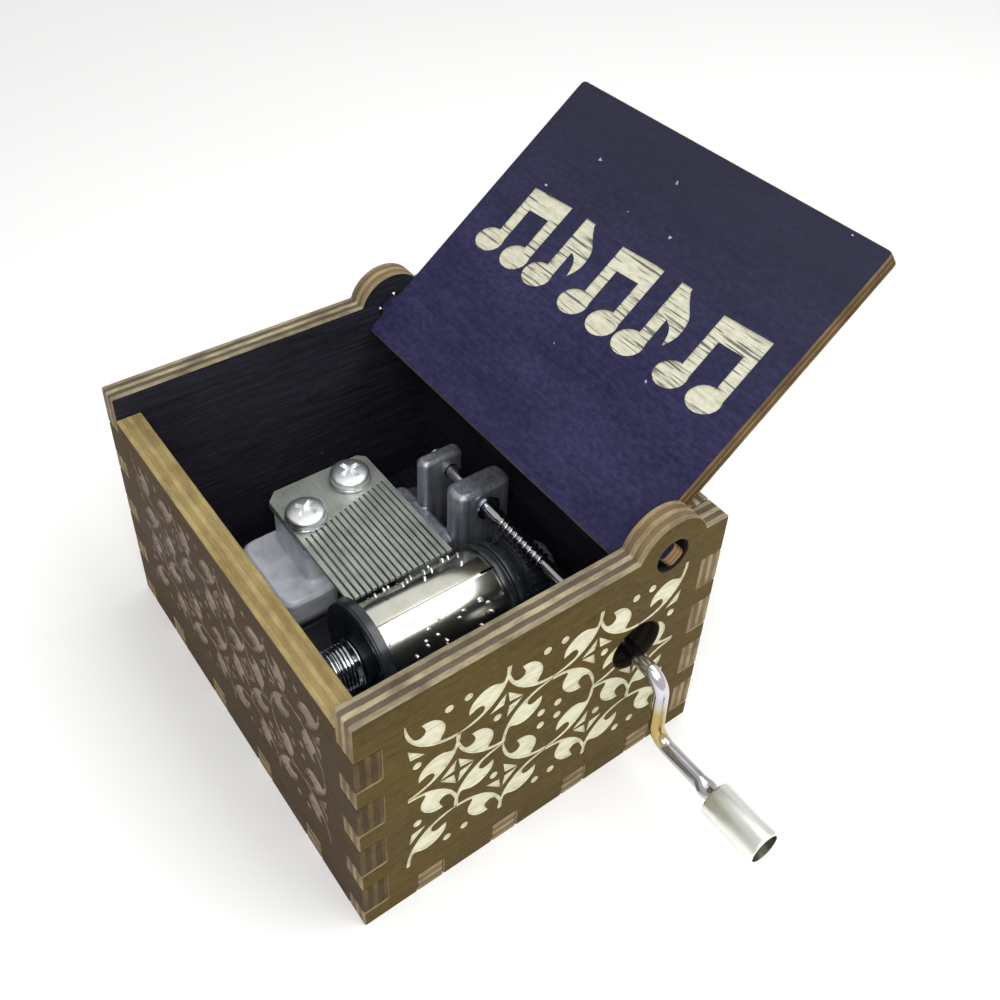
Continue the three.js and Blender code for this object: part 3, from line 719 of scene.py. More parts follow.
def side_outline(mirror):
    """Side panel in (towards the back, up), or mirrored for the other side."""
    rise = math.degrees(math.asin((HEIGHT - EAR_Z) / EAR_RADIUS))
    high = [(HEIGHT - b, HEIGHT - a) for a, b in tab_cuts(KERF)][::-1]
    points = notched((-HALF_D, 0), (HALF_D, 0), foot_cuts(SIDE_FOOT_TABS, -HALF_D, KERF), PLY + KERF)
    points += notched((HALF_D, 0), (HALF_D, HEIGHT), tab_cuts(KERF), PLY - KERF)
    points += [(HALF_D, HEIGHT)] + arc((EAR_Y, EAR_Z), EAR_RADIUS, rise, 180 - rise, 28)
    points += notched((-HALF_D, HEIGHT), (-HALF_D, 0), high, PLY - KERF)
    points = rounded(points, 0.3)
    return [(-a, b) for a, b in points] if mirror else points


def cross_outline(height):
    """Front or back panel, with fingers out to the side panels' faces."""
    half = INNER_W - KERF
    reach = -(HALF_W - half)
    cuts = tab_cuts(0, height)
    fingers_down = [(height - b, height - a) for a, b in cuts][::-1]
    feet = foot_cuts(FRONT_FOOT_TABS, -half, KERF)
    points = notched_box((-half, 0), (half, height), (feet, cuts, [], fingers_down),
                         (PLY + KERF, reach, 0, reach))
    clean = [p for i, p in enumerate(points) if (Vector(p) - Vector(points[i - 1])).length > 1e-4]
    return rounded(clean, 0.25)


ART_DEPTH = 0.22
EDGE_SLOT, INNER_SLOT, OUTER_SLOT, ART_SLOT, PALE_SLOT, HOLE_SLOT = range(6)
PANEL_SLOTS = (INNER_SLOT, EDGE_SLOT, OUTER_SLOT)
CASE_LOOKS = (CASE_EDGE, CASE_FACE, CASE_ENGRAVED, CASE_TOP_EDGE)
FRONT_LOOKS = (FRONT_EDGE, FRONT_FACE_SHADED, FRONT_ENGRAVED_SHADED, FRONT_TOP_EDGE)


def panel(name, place, outline, height, art, looks, holes=(), clear=(), shift=(0, 0)):
    """One wall of the case. Its top edge is sanded pale; the other cuts are stained, and
    the walls of its holes are burnt."""
    edge, face, engraved, top_edge = looks

    def wall(middle, hole):
        if hole:
            return HOLE_SLOT
        return PALE_SLOT if abs(middle.y - height) < 0.3 else EDGE_SLOT

    build = Build()
    top = {"art": art, "depth": ART_DEPTH, "art_slot": ART_SLOT, "clear": clear}
    slab(build, outline, ply_profile(), place, holes, (INNER_SLOT, wall, OUTER_SLOT), shift, top=top)
    show(build, name, "ply", [edge, INNER_FACE_SHADED, face, engraved, top_edge, BURNT_EDGE], "case")


FIELD_MID = 20.85
SIDE_LATTICE = (13.2, 13.9, 1.0)  # column pitch, row pitch, scale
WIDE_LATTICE = (12.4, 12.6, 0.93)
CLEAR_RIM = 0.25  # left plain round the crank hole


def make_case():
    middle = PLY / 2
    side_art = ornament(3, (0.1, FIELD_MID), *SIDE_LATTICE)
    wide_art = ornament(4, (0, FIELD_MID), *WIDE_LATTICE)
    ear = circle((EAR_Y, EAR_Z), EAR_HOLE, 40)
    y, z, radius = CRANK_HOLE
    right = axes((HALF_W - middle, 0, 0), (0, 1, 0), (0, 0, 1))
    left = axes((middle - HALF_W, 0, 0), (0, -1, 0), (0, 0, 1))
    front = axes((0, middle - HALF_D, 0), (1, 0, 0), (0, 0, 1))
    back = axes((0, HALF_D - middle, 0), (-1, 0, 0), (0, 0, 1))
    panel("right_side_panel", right, side_outline(False), HEIGHT, side_art, CASE_LOOKS,
          [ear, circle((y, z), radius, 44)], [circle((y, z), radius + CLEAR_RIM, 44)])
    panel("left_side_panel", left, side_outline(True), HEIGHT, side_art, CASE_LOOKS,
          [[(-a, b) for a, b in ear]], shift=(90, 40))
    panel("front_panel", front, cross_outline(FRONT_HEIGHT), FRONT_HEIGHT, wide_art, FRONT_LOOKS,
          shift=(200, 0))
    panel("back_panel", back, cross_outline(HEIGHT), HEIGHT, wide_art, CASE_LOOKS, shift=(310, 70))


SCREW_PLACES = [middle_xy(f"frame_screw_{i}") for i in (1, 2, 3)]


SINK = [(0, -1), (3.3, -1), (2.95, 0.1), (1.5, 1.85), (0, 1.85)]


def make_bottom():
    """The floor of the case: tabs all round, and countersunk holes for the frame's screws."""
    half_x, half_y = INNER_W - KERF, INNER_D - KERF
    tabs = [foot_cuts(FRONT_FOOT_TABS, -half_x), foot_cuts(SIDE_FOOT_TABS, -half_y)] * 2
    points = notched_box((-half_x, -half_y), (half_x, half_y), tabs, [half_y - HALF_D, half_x - HALF_W] * 2)
    place = axes((0, 0, PLY / 2), (1, 0, 0), (0, -1, 0))
    holes = [circle((x, -y), 1.6, 24) for x, y in SCREW_PLACES]
    build = Build()
    slab(build, rounded(points, 0.25), ply_profile(), place, holes, PANEL_SLOTS, (400, 20))
    sinks = Build()
    for x, y in SCREW_PLACES:
        revolve(sinks, SINK, Matrix.Translation((x, y, 0)), 32)
    show(carved(build, "bottom_panel_ply", sinks), "bottom_panel", "ply", [CASE_EDGE, INNER_FACE_SHADED, CASE_FACE],
         "case")


NOTES_PLACE = (-24.3, -14.5)  # left end and base line of the row of notes


def make_lid():
    """Drawn closed about its pivot, with its inner face down, and turned back to open."""
    out = LID_HALF - HALF_W
    right = [(-PINTLE - LID_FRONT, PINTLE - LID_FRONT)]
    left = [(LID_REAR - PINTLE, LID_REAR + PINTLE)]
    points = notched_box((-LID_HALF, LID_FRONT), (LID_HALF, LID_REAR), ([], right, [], left),
                         (0, out, 0, out))
    place = Matrix.Translation(HINGE) @ Matrix.Rotation(-LID_OPEN, 4, "X")
    lattice = ornament(4, (0, (LID_FRONT + LID_REAR) / 2), *WIDE_LATTICE)
    outer, inner = ({"art": art, "depth": ART_DEPTH, "art_slot": ART_SLOT}
                    for art in (lattice, note_row(*NOTES_PLACE)))

    def wall(middle, _):
        return PALE_SLOT if abs(middle.x) > HALF_W - 0.1 else EDGE_SLOT

    build = Build()
    slab(build, rounded(points, 0.8), ply_profile(LID_THICK), place, (), (INNER_SLOT, wall, OUTER_SLOT),
         (500, 30), top=outer, bottom=inner)
    show(build, "lid_panel", "ply", [LID_EDGE, LID_FACE, CASE_FACE, LID_ENGRAVED, PINTLE_END], "lid")


make_case()
make_bottom()
make_lid()


# ------------------------------------------------------------------ metals and plastic
def cast_zinc():
    """Die cast zinc: a matt skin in front, painted pale as light on the platform; polished on the posts
    behind and painted darker there as shade, with vertical streaks of painted reflection; and painted black
    as shade on the bed."""
    f = Finish("cast_zinc")
    flow = f.noise(f.space(0.3, 0.3, 0.5), 1.0, 3, 0.5, 0.2)
    pebble = f.noise(f.space(1, 1, 1), 3.2, 3)
    # the zinc's own light grey pushed nearly white: partly its colour, partly painted light on the front
    # platform
    colour = f.ramp(flow, (0.34, "#cbd2de"), (0.5, "#e6ebf4"), (0.66, "#f6f9fd"))
    # painted shade: the posts behind get a darker colour, with vertical streaks that stand for reflections
    back = f.ramp(f.node("SeparateXYZ", f.space(0, 0.05, 0), output=1), (0.25, 0.0), (0.38, 1.0))
    streaks = f.ramp(f.noise(f.space(1.3, 1.3, 0.12), 1.0, 3, 0.5), (0.36, "#666a74"), (0.66, "#a4a9b4"))
    colour = f.mix(f.times(back, 0.8), colour, streaks)
    # painted shade: black on the bed up to about 7.2 mm, fading out by 8.6 mm, where the frame lies in shadow
    height = f.node("SeparateXYZ", f.space(0, 0, 0.1), output=2)
    colour = f.mix(f.ramp(height, (0.72, 0.0), (0.86, 1.0)), "#24262c", colour)
    f.put(f.shader.inputs["Metallic"], f.range(back, 0.14, 0.8))
    return f.done(colour, f.range(f.weigh(flow, 0.7, pebble), 0.25, 0.6), pebble, 0.03)


def ground_steel():
    """The comb: surface ground along its length, with oxide bloom between the teeth."""
    f = Finish("ground_steel", Metallic=0.8)
    lines = f.noise(f.space(0.25, 9, 4), 1.0, 3, 0.6)
    bloom = f.noise(f.space(0.3, 0.3, 0.3), 1.0, 3)
    colour = f.ramp(f.weigh(lines, 0.5, bloom), (0.36, "#92968f"), (0.5, "#adb2aa"), (0.66, "#c3c7bd"))
    return f.done(colour, f.range(lines, 0.38, 0.58), lines, 0.015)


def plated(name, dark, light, low, high, scale=0.8, relief=0.004, **settings):
    """Plated or polished metal: slow tone changes, fine handling marks."""
    f = Finish(name, Metallic=1.0, **settings)
    tone = f.noise(f.space(0.25, 0.25, 0.25), scale, 3)
    marks = f.noise(f.space(1.2, 3.5, 2.2), 1.4, 4, 0.65)
    colour = f.ramp(tone, (0.35, dark), (0.65, light))
    return f.done(colour, f.range(marks, low, high), marks, relief)


def drawn_wire():
    """The crank: plated, with faint draw lines; its leg just outside the case is painted brassy as a warm
    reflection.
    """
    f = Finish("drawn_wire", Metallic=1.0)
    lines = f.noise(f.space(0.15, 6, 6), 1.0, 3)
    tone = f.noise(f.space(0.12, 0.3, 0.3), 1.0, 2)
    silver = f.ramp(tone, (0.35, "#a6a4a8"), (0.6, "#cbc9cf"))
    where = f.space(0.01, 0, 0.05)
    along = f.node("SeparateXYZ", where, output=0)
    up = f.node("SeparateXYZ", where, output=2)
    outside = f.ramp(along, (0.35, 0.0), (0.37, 1.0))
    on_leg = f.ramp(along, (0.385, 0.0), (0.40, 1.0))
    low = f.ramp(up, (0.86, 1.0), (1.0, 0.0))
    warm_reflection = f.times(f.times(outside, low), f.math("SUBTRACT", 1.0, on_leg))
    # painted reflection: the leg below the shaft, just outside the case, is tinted brass as if it mirrored
    # something warm
    colour = f.mix(f.times(warm_reflection, 0.85), silver, "#b89f42")
    return f.done(colour, f.range(lines, 0.09, 0.22), lines, 0.003)


def barrel_plate():
    """The barrel's sleeve: nickel with a pale gold cast, faintly ringed by turning."""
    f = Finish("barrel_plate", Metallic=1.0)
    rings = f.noise(f.space(0.2, 7, 0.2), 1.0, 3, 0.6)
    cloud = f.noise(f.space(0.35, 0.35, 0.35), 1.0, 3)
    colour = f.ramp(cloud, (0.35, "#e6e5d6"), (0.6, "#efeee2"))
    return f.done(colour, f.range(rings, 0.17, 0.24), rings, 0.0015)


def moulded_plastic():
    """Gloss black moulding with faint scuffs."""
    f = Finish("moulded_plastic", IOR=1.5, Specular_IOR_Level=0.7)
    cloud = f.noise(f.space(0.6, 0.6, 0.6), 1.0, 3)
    scuffs = f.noise(f.space(2, 5, 2), 1.2, 4, 0.7)
    colour = f.ramp(cloud, (0.35, "#1e2227"), (0.65, "#2b3037"))
    return f.done(colour, f.range(scuffs, 0.22, 0.3))


def dull_lead():
    f = Finish("dull_lead", Metallic=1.0)
    cloud = f.noise(f.space(1, 1, 1), 1.6, 4)
    colour = f.ramp(cloud, (0.35, "#55575b"), (0.65, "#7d7f84"))
    return f.done(colour, f.range(cloud, 0.45, 0.75), cloud, 0.05)


ZINC = cast_zinc()
STEEL = ground_steel()
BRIGHT = plated("bright_zinc", "#bfc6cc", "#eef1f2", 0.1, 0.3)
SCREW_ZINC = plated("screw_zinc", "#eef3f6", "#fdfefe", 0.3, 0.5, 1.0, 0.012)
NICKEL = plated("satin_nickel", "#e4e6df", "#f2f4ee", 0.26, 0.34, 1.2, 0.004)
# a darker copy of the nickel for the inside of the knob's open end: painted shade
KNOB_BORE_SHADE = plated("knob_bore_shade", "#55524b", "#8a867c", 0.3, 0.45, 1.2, 0.01)
PIN_STEEL = plated("pin_steel", "#dcdee0", "#f6f6f6", 0.2, 0.4)
CHROME = drawn_wire()
BARREL_SKIN = barrel_plate()
# painted shade for the faces down in the seam groove and in the notch at its rear end
SEAM_SHADE = plated("seam_shade", "#0c0b09", "#1c1a16", 0.5, 0.7, 1.2, 0.01)
PLASTIC = moulded_plastic()
LEAD = dull_lead()


# ------------------------------------------------------------------ movement frame
FRAME_LOW, FRAME_HIGH = span("movement_frame")
BED_TOP = 6.5
COMB_LOW, COMB_HIGH = span("comb")
COMB_TOP = COMB_HIGH.z
COMB_THICK = 1.3
SHAFT_BORE = 1.1
VOXEL = 0.2
BED_RIGHT = 17.5
FRAME_BLOCKS = (  # left, right, front, rear, top, corner radius, bevel
    (-19.3, -8.6, -9.9, 5.0, COMB_TOP - COMB_THICK - KERF, 1.2, 0.35),  # under the comb
    (-21.2, -6.4, -15, -6, 12, 2.6, 0.6),  # low step in front of it
    (-14, -0.2, 2, 9.4, 17.4, 2.2, 0.6),  # step behind it
    (-9.8, -7.3, 8.4, 15.3, FRAME_HIGH.z, 1.2, 0.5),  # the two posts of the crank shaft
    (-2.9, 1.2, 8.6, 17.8, FRAME_HIGH.z, 2.0, 0.6))
STANDARDS = ((15, 17.6, -1, 12.5), (-20.6, -18.6, 6.1, 12.5))  # front, rear, left, right


def rounded_box(build, x0, x1, y0, y1, z0, z1, radius, bevel=0.35):
    outline = rounded([(x0, y0), (x1, y0), (x1, y1), (x0, y1)], radius, steps=6)
    slab(build, outline, [(z0, bevel), (z0 + bevel, 0), (z1 - bevel, 0), (z1, bevel)], None)


def bar(build, radius, start, end, sides=32, bevel=0.0):
    """A round bar between two points, with bevelled ends."""
    start, end = Vector(start), Vector(end)
    way = end - start
    place = Matrix.Translation(start) @ way.to_track_quat("Z", "Y").to_matrix().to_4x4()
    ends = [(0, 0), (radius - bevel, 0), (radius, bevel), (radius, way.length - bevel),
            (radius - bevel, way.length), (0, way.length)]
    revolve(build, [p for i, p in enumerate(ends) if not i or p != ends[i - 1]], place, sides)


def make_frame():
    """One die casting: bed, comb bed, two posts and two standards, with drilled bores."""
    name = "movement_frame_casting"
    build = Build()
    rounded_box(build, FRAME_LOW.x, BED_RIGHT, FRAME_LOW.y, FRAME_HIGH.y, FRAME_LOW.z, BED_TOP, 3, 0.3)
    for x0, x1, y0, y1, top, radius, bevel in FRAME_BLOCKS:
        rounded_box(build, x0, x1, y0, y1, BED_TOP - 1, top, radius, bevel)
    for y0, y1, left, right in STANDARDS:
        rounded_box(build, left, right, y0, y1, BED_TOP - 1, BARREL.z - 1, 0.4)
        bar(build, 3.2, (BARREL.x, y0, BARREL.z), (BARREL.x, y1, BARREL.z), 40, 0.35)
    for x, y in SCREW_PLACES:
        bar(build, 2.9, (x, y, BED_TOP - 1), (x, y, 9.2), 28, 0.4)
    cast = modified(build.mesh(name), name,
                    ("REMESH", {"mode": "VOXEL", "voxel_size": VOXEL * MM}),
                    ("SMOOTH", {"iterations": 3, "factor": 0.5}),
                    ("DECIMATE", {"ratio": 0.35}))
    bores = Build()
    bar(bores, SHAFT_BORE, (-12, SHAFT.y, SHAFT.z), (4, SHAFT.y, SHAFT.z), 28)
    for y0, y1 in ((-22, -17), (14, 20)):
        bar(bores, SHAFT_BORE, (BARREL.x, y0, BARREL.z), (BARREL.x, y1, BARREL.z), 28)
    for x, y in SCREW_PLACES:
        bar(bores, 1.5, (x, y, 2), (x, y, 8.5), 20)
    for x, y in COMB_SCREWS:
        bar(bores, 1.4, (x, y, 13), (x, y, 21), 20)
    show(carved(cast, name, bores, 42), "movement_frame", "casting", [ZINC], "case")


COMB_SCREWS = [middle_xy(f"comb_washer_{side}") for side in ("front", "rear")]

# ------------------------------------------------------------------ comb
COMB_TEETH = 18
COMB_SLOT = 0.26
TOOTH_THICK = 0.6
SLOT_ENDS = (-9.4, -13.3)  # inner end of the slots beside the shortest and the longest tooth
COMB_PITCH = (COMB_HIGH.y - COMB_LOW.y) / COMB_TEETH


def comb_outline():
    points = [(COMB_LOW.x + 1.6, COMB_LOW.y)]
    for i in range(COMB_TEETH):
        low = COMB_LOW.y + i * COMB_PITCH
        points.append((COMB_HIGH.x, low + (COMB_SLOT / 2 if i else 0)))
        if i == COMB_TEETH - 1:
            break
        root = SLOT_ENDS[0] + (SLOT_ENDS[1] - SLOT_ENDS[0]) * i / (COMB_TEETH - 2)
        high = low + COMB_PITCH
        points += [(COMB_HIGH.x, high - COMB_SLOT / 2), (root, high - COMB_SLOT / 2),
                   (root, high + COMB_SLOT / 2)]
    rear = COMB_HIGH.y
    points += [(COMB_HIGH.x, rear), (COMB_LOW.x + 1, rear), (COMB_LOW.x, rear - 1),
               (COMB_LOW.x, COMB_LOW.y + 1.6)]
    return points


def make_comb():
    """A plate whose teeth are ground thin underneath; the thick root is a second layer."""
    holes = [circle(place, 1.4, 24) for place in COMB_SCREWS]
    under = COMB_TOP - TOOTH_THICK
    build = Build()
    slab(build, comb_outline(), [(under, 0.04), (under + 0.04, 0), (COMB_TOP - 0.06, 0), (COMB_TOP, 0.06)],
         None, holes)
    root = [(COMB_LOW.x + 1.6, COMB_LOW.y), (-8.4, COMB_LOW.y), (-11.6, COMB_HIGH.y),
            (COMB_LOW.x + 1, COMB_HIGH.y), (COMB_LOW.x, COMB_HIGH.y - 1), (COMB_LOW.x, COMB_LOW.y + 1.6)]
    low = COMB_LOW.z
    slab(build, root, [(low, 0.1), (low + 0.1, 0), (under + 0.02, 0), (under + 0.03, 0.02)], None, holes)
    show(build, "comb", "ground", [STEEL], "case")
    for i in (1, 2, 3, 4):
        name = f"comb_lead_weight_{i}"
        weight = Build()
        block(weight, *span(name), 0.12)
        show(weight, name, "cast", [LEAD], "case")


# ------------------------------------------------------------------ screws and washers
def cross_recess(place, wing, half):
    """The cutter for a cross: two blades of one outline at right angles."""
    cutter = Build()
    for turn in (0, PI / 2):
        blade = place @ Matrix.Rotation(turn, 4, "Z") @ Matrix.Rotation(PI / 2, 4, "X")
        slab(cutter, wing, [(-half, 0), (half, 0)], blade)
    return cutter


PAN_CROSS = [(-1.95, 0.5), (-1.75, 0), (-0.8, -1.0), (0.8, -1.0), (1.75, 0), (1.95, 0.5)]
FLAT_CROSS = [(-1.6, -0.3), (1.6, -0.3), (1.4, 0), (0.6, 1.1), (-0.6, 1.1), (-1.4, 0)]
PAN_TURNS = {"front": 0.6, "rear": 0.25}  # how far each head is turned
PAN_HEAD = [(1.2, 0), (2.75, 0), (2.9, 0.12), (2.9, 0.75), (2.8, 1.0), (2.5, 1.22), (1.9, 1.4),
            (1.2, 1.5), (0.6, 1.55), (0, 1.56)]
THREAD_TURNS, THREAD_PITCH = 7, 0.75


def make_comb_screws():
    """Pan head screws with a cross recess, each on a washer."""
    for (side, turn), (x, y) in zip(PAN_TURNS.items(), COMB_SCREWS):
        name, washer = f"comb_screw_{side}", f"comb_washer_{side}"
        washer_low, washer_high = span(washer)
        seat = washer_high.z + KERF / 4
        tip = span(name)[0].z - seat
        place = Matrix.Translation((x, y, seat)) @ Matrix.Rotation(turn, 4, "Z")
        build = Build()
        revolve(build, [(0, tip), (1.0, tip + 0.4), (1.2, tip + 0.9), *PAN_HEAD], place, 56)
        cross = cross_recess(place @ Matrix.Translation((0, 0, 1.5)), PAN_CROSS, 0.38)
        show(carved(build, name + "_head", cross, 35), name, "head", [SCREW_ZINC], "case")
        disc = Build()
        profile = ring(1.4, (washer_high.x - washer_low.x) / 2, 0, washer_high.z - washer_low.z, 0.12)
        revolve(disc, profile, Matrix.Translation((x, y, washer_low.z)), 56)
        show(disc, washer, "ring", [BRIGHT], "case")


def make_frame_screws():
    """Countersunk wood screws driven up through the bottom panel."""
    for i, (x, y) in enumerate(SCREW_PLACES, 1):
        name = f"frame_screw_{i}"
        low, high = span(name)
        base, tip = low.z, high.z
        radius = (high.x - low.x) / 2
        profile = [(0, base), (radius - 0.1, base), (radius, base + 0.12), (1.25, base + 1.6)]
        for k in range(THREAD_TURNS):
            z = base + 1.7 + k * THREAD_PITCH
            profile += [(0.95, z), (1.25, z + 0.3), (1.25, z + 0.36), (0.95, z + 0.62)]
        build = Build()
        revolve(build, [*profile, (0.4, tip - 0.1), (0, tip)], Matrix.Translation((x, y, 0)), 40)
        place = Matrix.Translation((x, y, base)) @ Matrix.Rotation(0.3, 4, "Z")
        show(carved(build, name + "_thread", cross_recess(place, FLAT_CROSS, 0.28), 35), name, "thread",
             [BRIGHT], "case")


# ------------------------------------------------------------------ barrel
ROUND_Y = Matrix.Translation((BARREL.x, 0, BARREL.z)) @ Matrix.Rotation(-PI / 2, 4, "X")
SLEEVE_LOW, SLEEVE_HIGH = span("barrel_sleeve")
BARREL_RADIUS = 6.3
BARREL_BORE = 5.75
SEAM_ANGLE = 78  # degrees from +X towards +Z
PIN_ROWS = 64
PIN_SEED = 18
QUIET_ARC = (54, 116)  # degrees round the barrel with hardly a pin
LONE_PINS = ((50.5, 15), (47.5, 12), (104, 16), (110, 10))  # degrees, tooth
LONE_DOT = (107, -6.9)  # degrees, y
SPARE_HOLES = 18


def round_y(profile, build, sides=96):
    """Turns (radius, y) points round the barrel's axis."""
    revolve(build, profile, ROUND_Y, sides)


def on_barrel(angle, y, radius):
    a = math.radians(angle)
    return Vector((BARREL.x + radius * math.cos(a), y, BARREL.z + radius * math.sin(a)))


def make_sleeve():
    """A rolled sleeve with a lengthwise seam, set with the pins of one tune."""
    front, rear = SLEEVE_LOW.y, SLEEVE_HIGH.y
    build = Build()
    round_y(ring(BARREL_BORE, BARREL_RADIUS, front, rear, 0.08, 2), build, 180)
    cutter = Build()
    axis = Vector((BARREL.x, 0, BARREL.z))
    seam = axes(axis, (0, 1, 0), on_barrel(SEAM_ANGLE + 90, 0, 1) - axis)
    slab(cutter, [(front - 1, -0.06), (rear + 1, -0.06), (rear + 1, 0.06), (front - 1, 0.06)],
         [(BARREL_RADIUS - 0.09, 0), (BARREL_RADIUS + 1, 0)], seam)
    slab(cutter, [(rear - 1.9, -0.3), (rear + 1, -0.3), (rear + 1, 0.1), (rear - 1.9, 0.1)],
         [(BARREL_RADIUS - 0.2, 0), (BARREL_RADIUS + 1, 0)], seam)
    data = carved(build, "barrel_sleeve_plate", cutter)
    # faces inside the seam groove and its rear notch take the black seam material: painted shade
    for face in data.polygons:
        middle = face.center / MM
        depth = BARREL_RADIUS - math.hypot(middle.x - BARREL.x, middle.z - BARREL.z)
        if 0.03 < depth < 0.3 and front + 0.1 < middle.y < rear - 0.1:
            face.material_index = 1
    show(data, "barrel_sleeve", "plate", [BARREL_SKIN, SEAM_SHADE], "barrel")


def make_pins():
    """Each note is a short steel pin on its tooth's track. Few stand near the seam, where
    the tune begins and ends; one spare track hole shows as a dot there. Each hole is a black disc flush with
    the sleeve: painted shade for the inside of the hole."""
    rng = random.Random(PIN_SEED)
    pins, hole_shades = Build(), Build()
    reach = (SLEEVE_HIGH.z - SLEEVE_LOW.z) / 2

    def pin(angle, tooth):
        y = COMB_LOW.y + (tooth + 0.5) * COMB_PITCH
        root, tip = on_barrel(angle, y, BARREL_RADIUS - 0.2), on_barrel(angle, y, reach - 0.02)
        bar(pins, 0.21, root, tip, 12, 0.06)

    # a black disc flush with the sleeve: painted shade for the inside of an empty pin hole
    def dot(angle, y):
        root, face = on_barrel(angle, y, BARREL_RADIUS - 0.2), on_barrel(angle, y, BARREL_RADIUS + 0.012)
        bar(hole_shades, 0.16, root, face, 12)

    for row in range(PIN_ROWS):
        angle = (row + 0.5) * 360 / PIN_ROWS
        if QUIET_ARC[0] < angle < QUIET_ARC[1]:
            continue
        for tooth in sorted(rng.sample(range(COMB_TEETH), rng.choice((1, 2, 2, 3)))):
            pin(angle, tooth)
    for angle, tooth in LONE_PINS:
        pin(angle, tooth)
    dot(*LONE_DOT)
    for _ in range(SPARE_HOLES):
        angle, tooth = rng.uniform(QUIET_ARC[1], 360 + QUIET_ARC[0]), rng.randrange(COMB_TEETH)
        dot(angle, COMB_LOW.y + (tooth + 0.5) * COMB_PITCH)
    show(pins, "barrel", "pins", [PIN_STEEL], "barrel", False)
    show(hole_shades, "barrel", "pin_hole_shades", [PLASTIC], "barrel", False)


GEAR_TEETH = 34
GEAR_TIP = 5.76
GEAR_ROOT = 5.3
GEAR_FRONT, GEAR_REAR = 12.0, 14.2
ARBOR_BORE = 1.3
SPRING_WIRE = 0.2  # radius
SPRING_TURNS, SPRING_STEPS = 9, 48


def gear_outline():
    step = 2 * PI / GEAR_TEETH
    points = []
    for i in range(GEAR_TEETH):
        middle = PI / 2 + (i + 0.5) * step
        for radius, share in ((GEAR_ROOT, -0.27), (GEAR_ROOT + 0.1, -0.23), (GEAR_TIP - 0.12, -0.15),
                              (GEAR_TIP, -0.1), (GEAR_TIP, 0.1), (GEAR_TIP - 0.12, 0.15),
                              (GEAR_ROOT + 0.1, 0.23), (GEAR_ROOT, 0.27)):
            angle = middle + step * share
            points.append((radius * math.cos(angle), radius * math.sin(angle)))
    return points


def make_caps():
    """The two mouldings that close the barrel; the rear one carries the worm wheel."""
    front = SLEEVE_LOW.y
    face = front - 1.8
    spigot = BARREL_BORE - 0.1
    build = Build()
    round_y(rounded([
        (ARBOR_BORE, front + 3), (ARBOR_BORE, face - 0.4), (3.4, face - 0.4), (3.4, face + 1.1),
        (5.6, face + 1.2), (7.0, face + 0.08), (7.25, face), (7.8, face), (8.0, face + 0.2),
        (8.0, face + 0.3), (7.86, face + 0.37), (7.86, face + 0.45), (8.0, face + 0.52),
        (8.0, front - KERF), (spigot, front - KERF), (spigot, front + 3)], 0.08), build)
    show(build, "barrel_front_cap", "moulding", [PLASTIC], "barrel")
    rear = SLEEVE_HIGH.y + KERF
    build = Build()
    round_y(rounded([
        (ARBOR_BORE, rear - 3), (spigot, rear - 3), (spigot, rear), (6.8, rear), (6.8, rear + 0.8),
        (6.2, rear + 0.9), (6.2, rear + 1.3), (6.7, rear + 1.4), (6.7, rear + 2.1), (5.9, rear + 2.3),
        (5.9, rear + 2.8), (5.0, GEAR_FRONT - 0.6), (5.0, GEAR_REAR), (2.6, GEAR_REAR),
        (2.6, GEAR_REAR + 0.4), (ARBOR_BORE, GEAR_REAR + 0.4)], 0.1), build)
    wheel = [(GEAR_FRONT, 0.1), (GEAR_FRONT + 0.1, 0), (GEAR_REAR - 0.1, 0), (GEAR_REAR, 0.1)]
    place = axes((BARREL.x, 0, BARREL.z), (0, 0, 1), (1, 0, 0))
    flat = [(b, a) for a, b in gear_outline()]
    slab(build, flat, wheel, place, [circle((0, 0), 4.6, 48)])
    show(build, "barrel_gear", "moulding", [PLASTIC], "barrel")


def make_arbor():
    """The fixed arbor with a slotted head."""
    low, high = span("barrel_arbor")
    head = (high.x - low.x) / 2
    build = Build()
    round_y(rounded([(0, low.y), (head, low.y + 0.2), (head, low.y + 1.0), (1.0, low.y + 1.0),
                     (1.0, high.y - 0.2), (0.8, high.y), (0, high.y)], 0.12, False), build, 48)
    slot_cut = Build()
    corners = [(BARREL.x + side * 2.2, y, BARREL.z + side * 0.25)
               for side, y in ((-1, low.y - 1), (1, low.y + 0.5))]
    block(slot_cut, *corners, 0.02)
    show(carved(build, "barrel_arbor_turned", slot_cut), "barrel_arbor", "turned", [BRIGHT], "case")


def make_spring():
    """The coil in front of the barrel, and its thrust washer."""
    low, high = span("barrel_spring")
    mean = (high.z - low.z) / 2 - SPRING_WIRE
    start, end = low.y + SPRING_WIRE, high.y - SPRING_WIRE
    count = SPRING_TURNS * SPRING_STEPS
    path = [on_barrel(360 * i / SPRING_STEPS, start + (end - start) * i / count, mean)
            for i in range(count + 1)]
    build = Build()
    tube(build, path, SPRING_WIRE, 10)
    show(build, "barrel_spring", "coil", [BRIGHT], "case")
    low, high = span("spring_washer")
    build = Build()
    round_y(ring(1.15, (high.x - low.x) / 2, low.y, high.y, 0.1), build, 48)
    show(build, "spring_washer", "ring", [BRIGHT], "case")


# ------------------------------------------------------------------ crank
WIRE = 1.0
CRANK_X = 37.4
BEND = 2.5
BEND_STEPS = 14
RIVET_X = 54.9
RIVET_HEAD = [(0, -0.5), (1.4, -0.5), (1.5, -0.35), (1.35, -0.1), (0.9, 0.05), (0, 0.1)]  # radius, along
WINGS = (45.4, 48.0)
WORM_PITCH = 1.035
WORM_TIP = 1.24
WORM_ROOT = 0.82
WORM_START = 5.1
WORM_TURNS = 9.5


def round_x(axis):
    """The matrix that lays a profile's height along X on an axis through a point."""
    return Matrix.Translation((0, axis.y, axis.z)) @ Matrix.Rotation(PI / 2, 4, "Y")


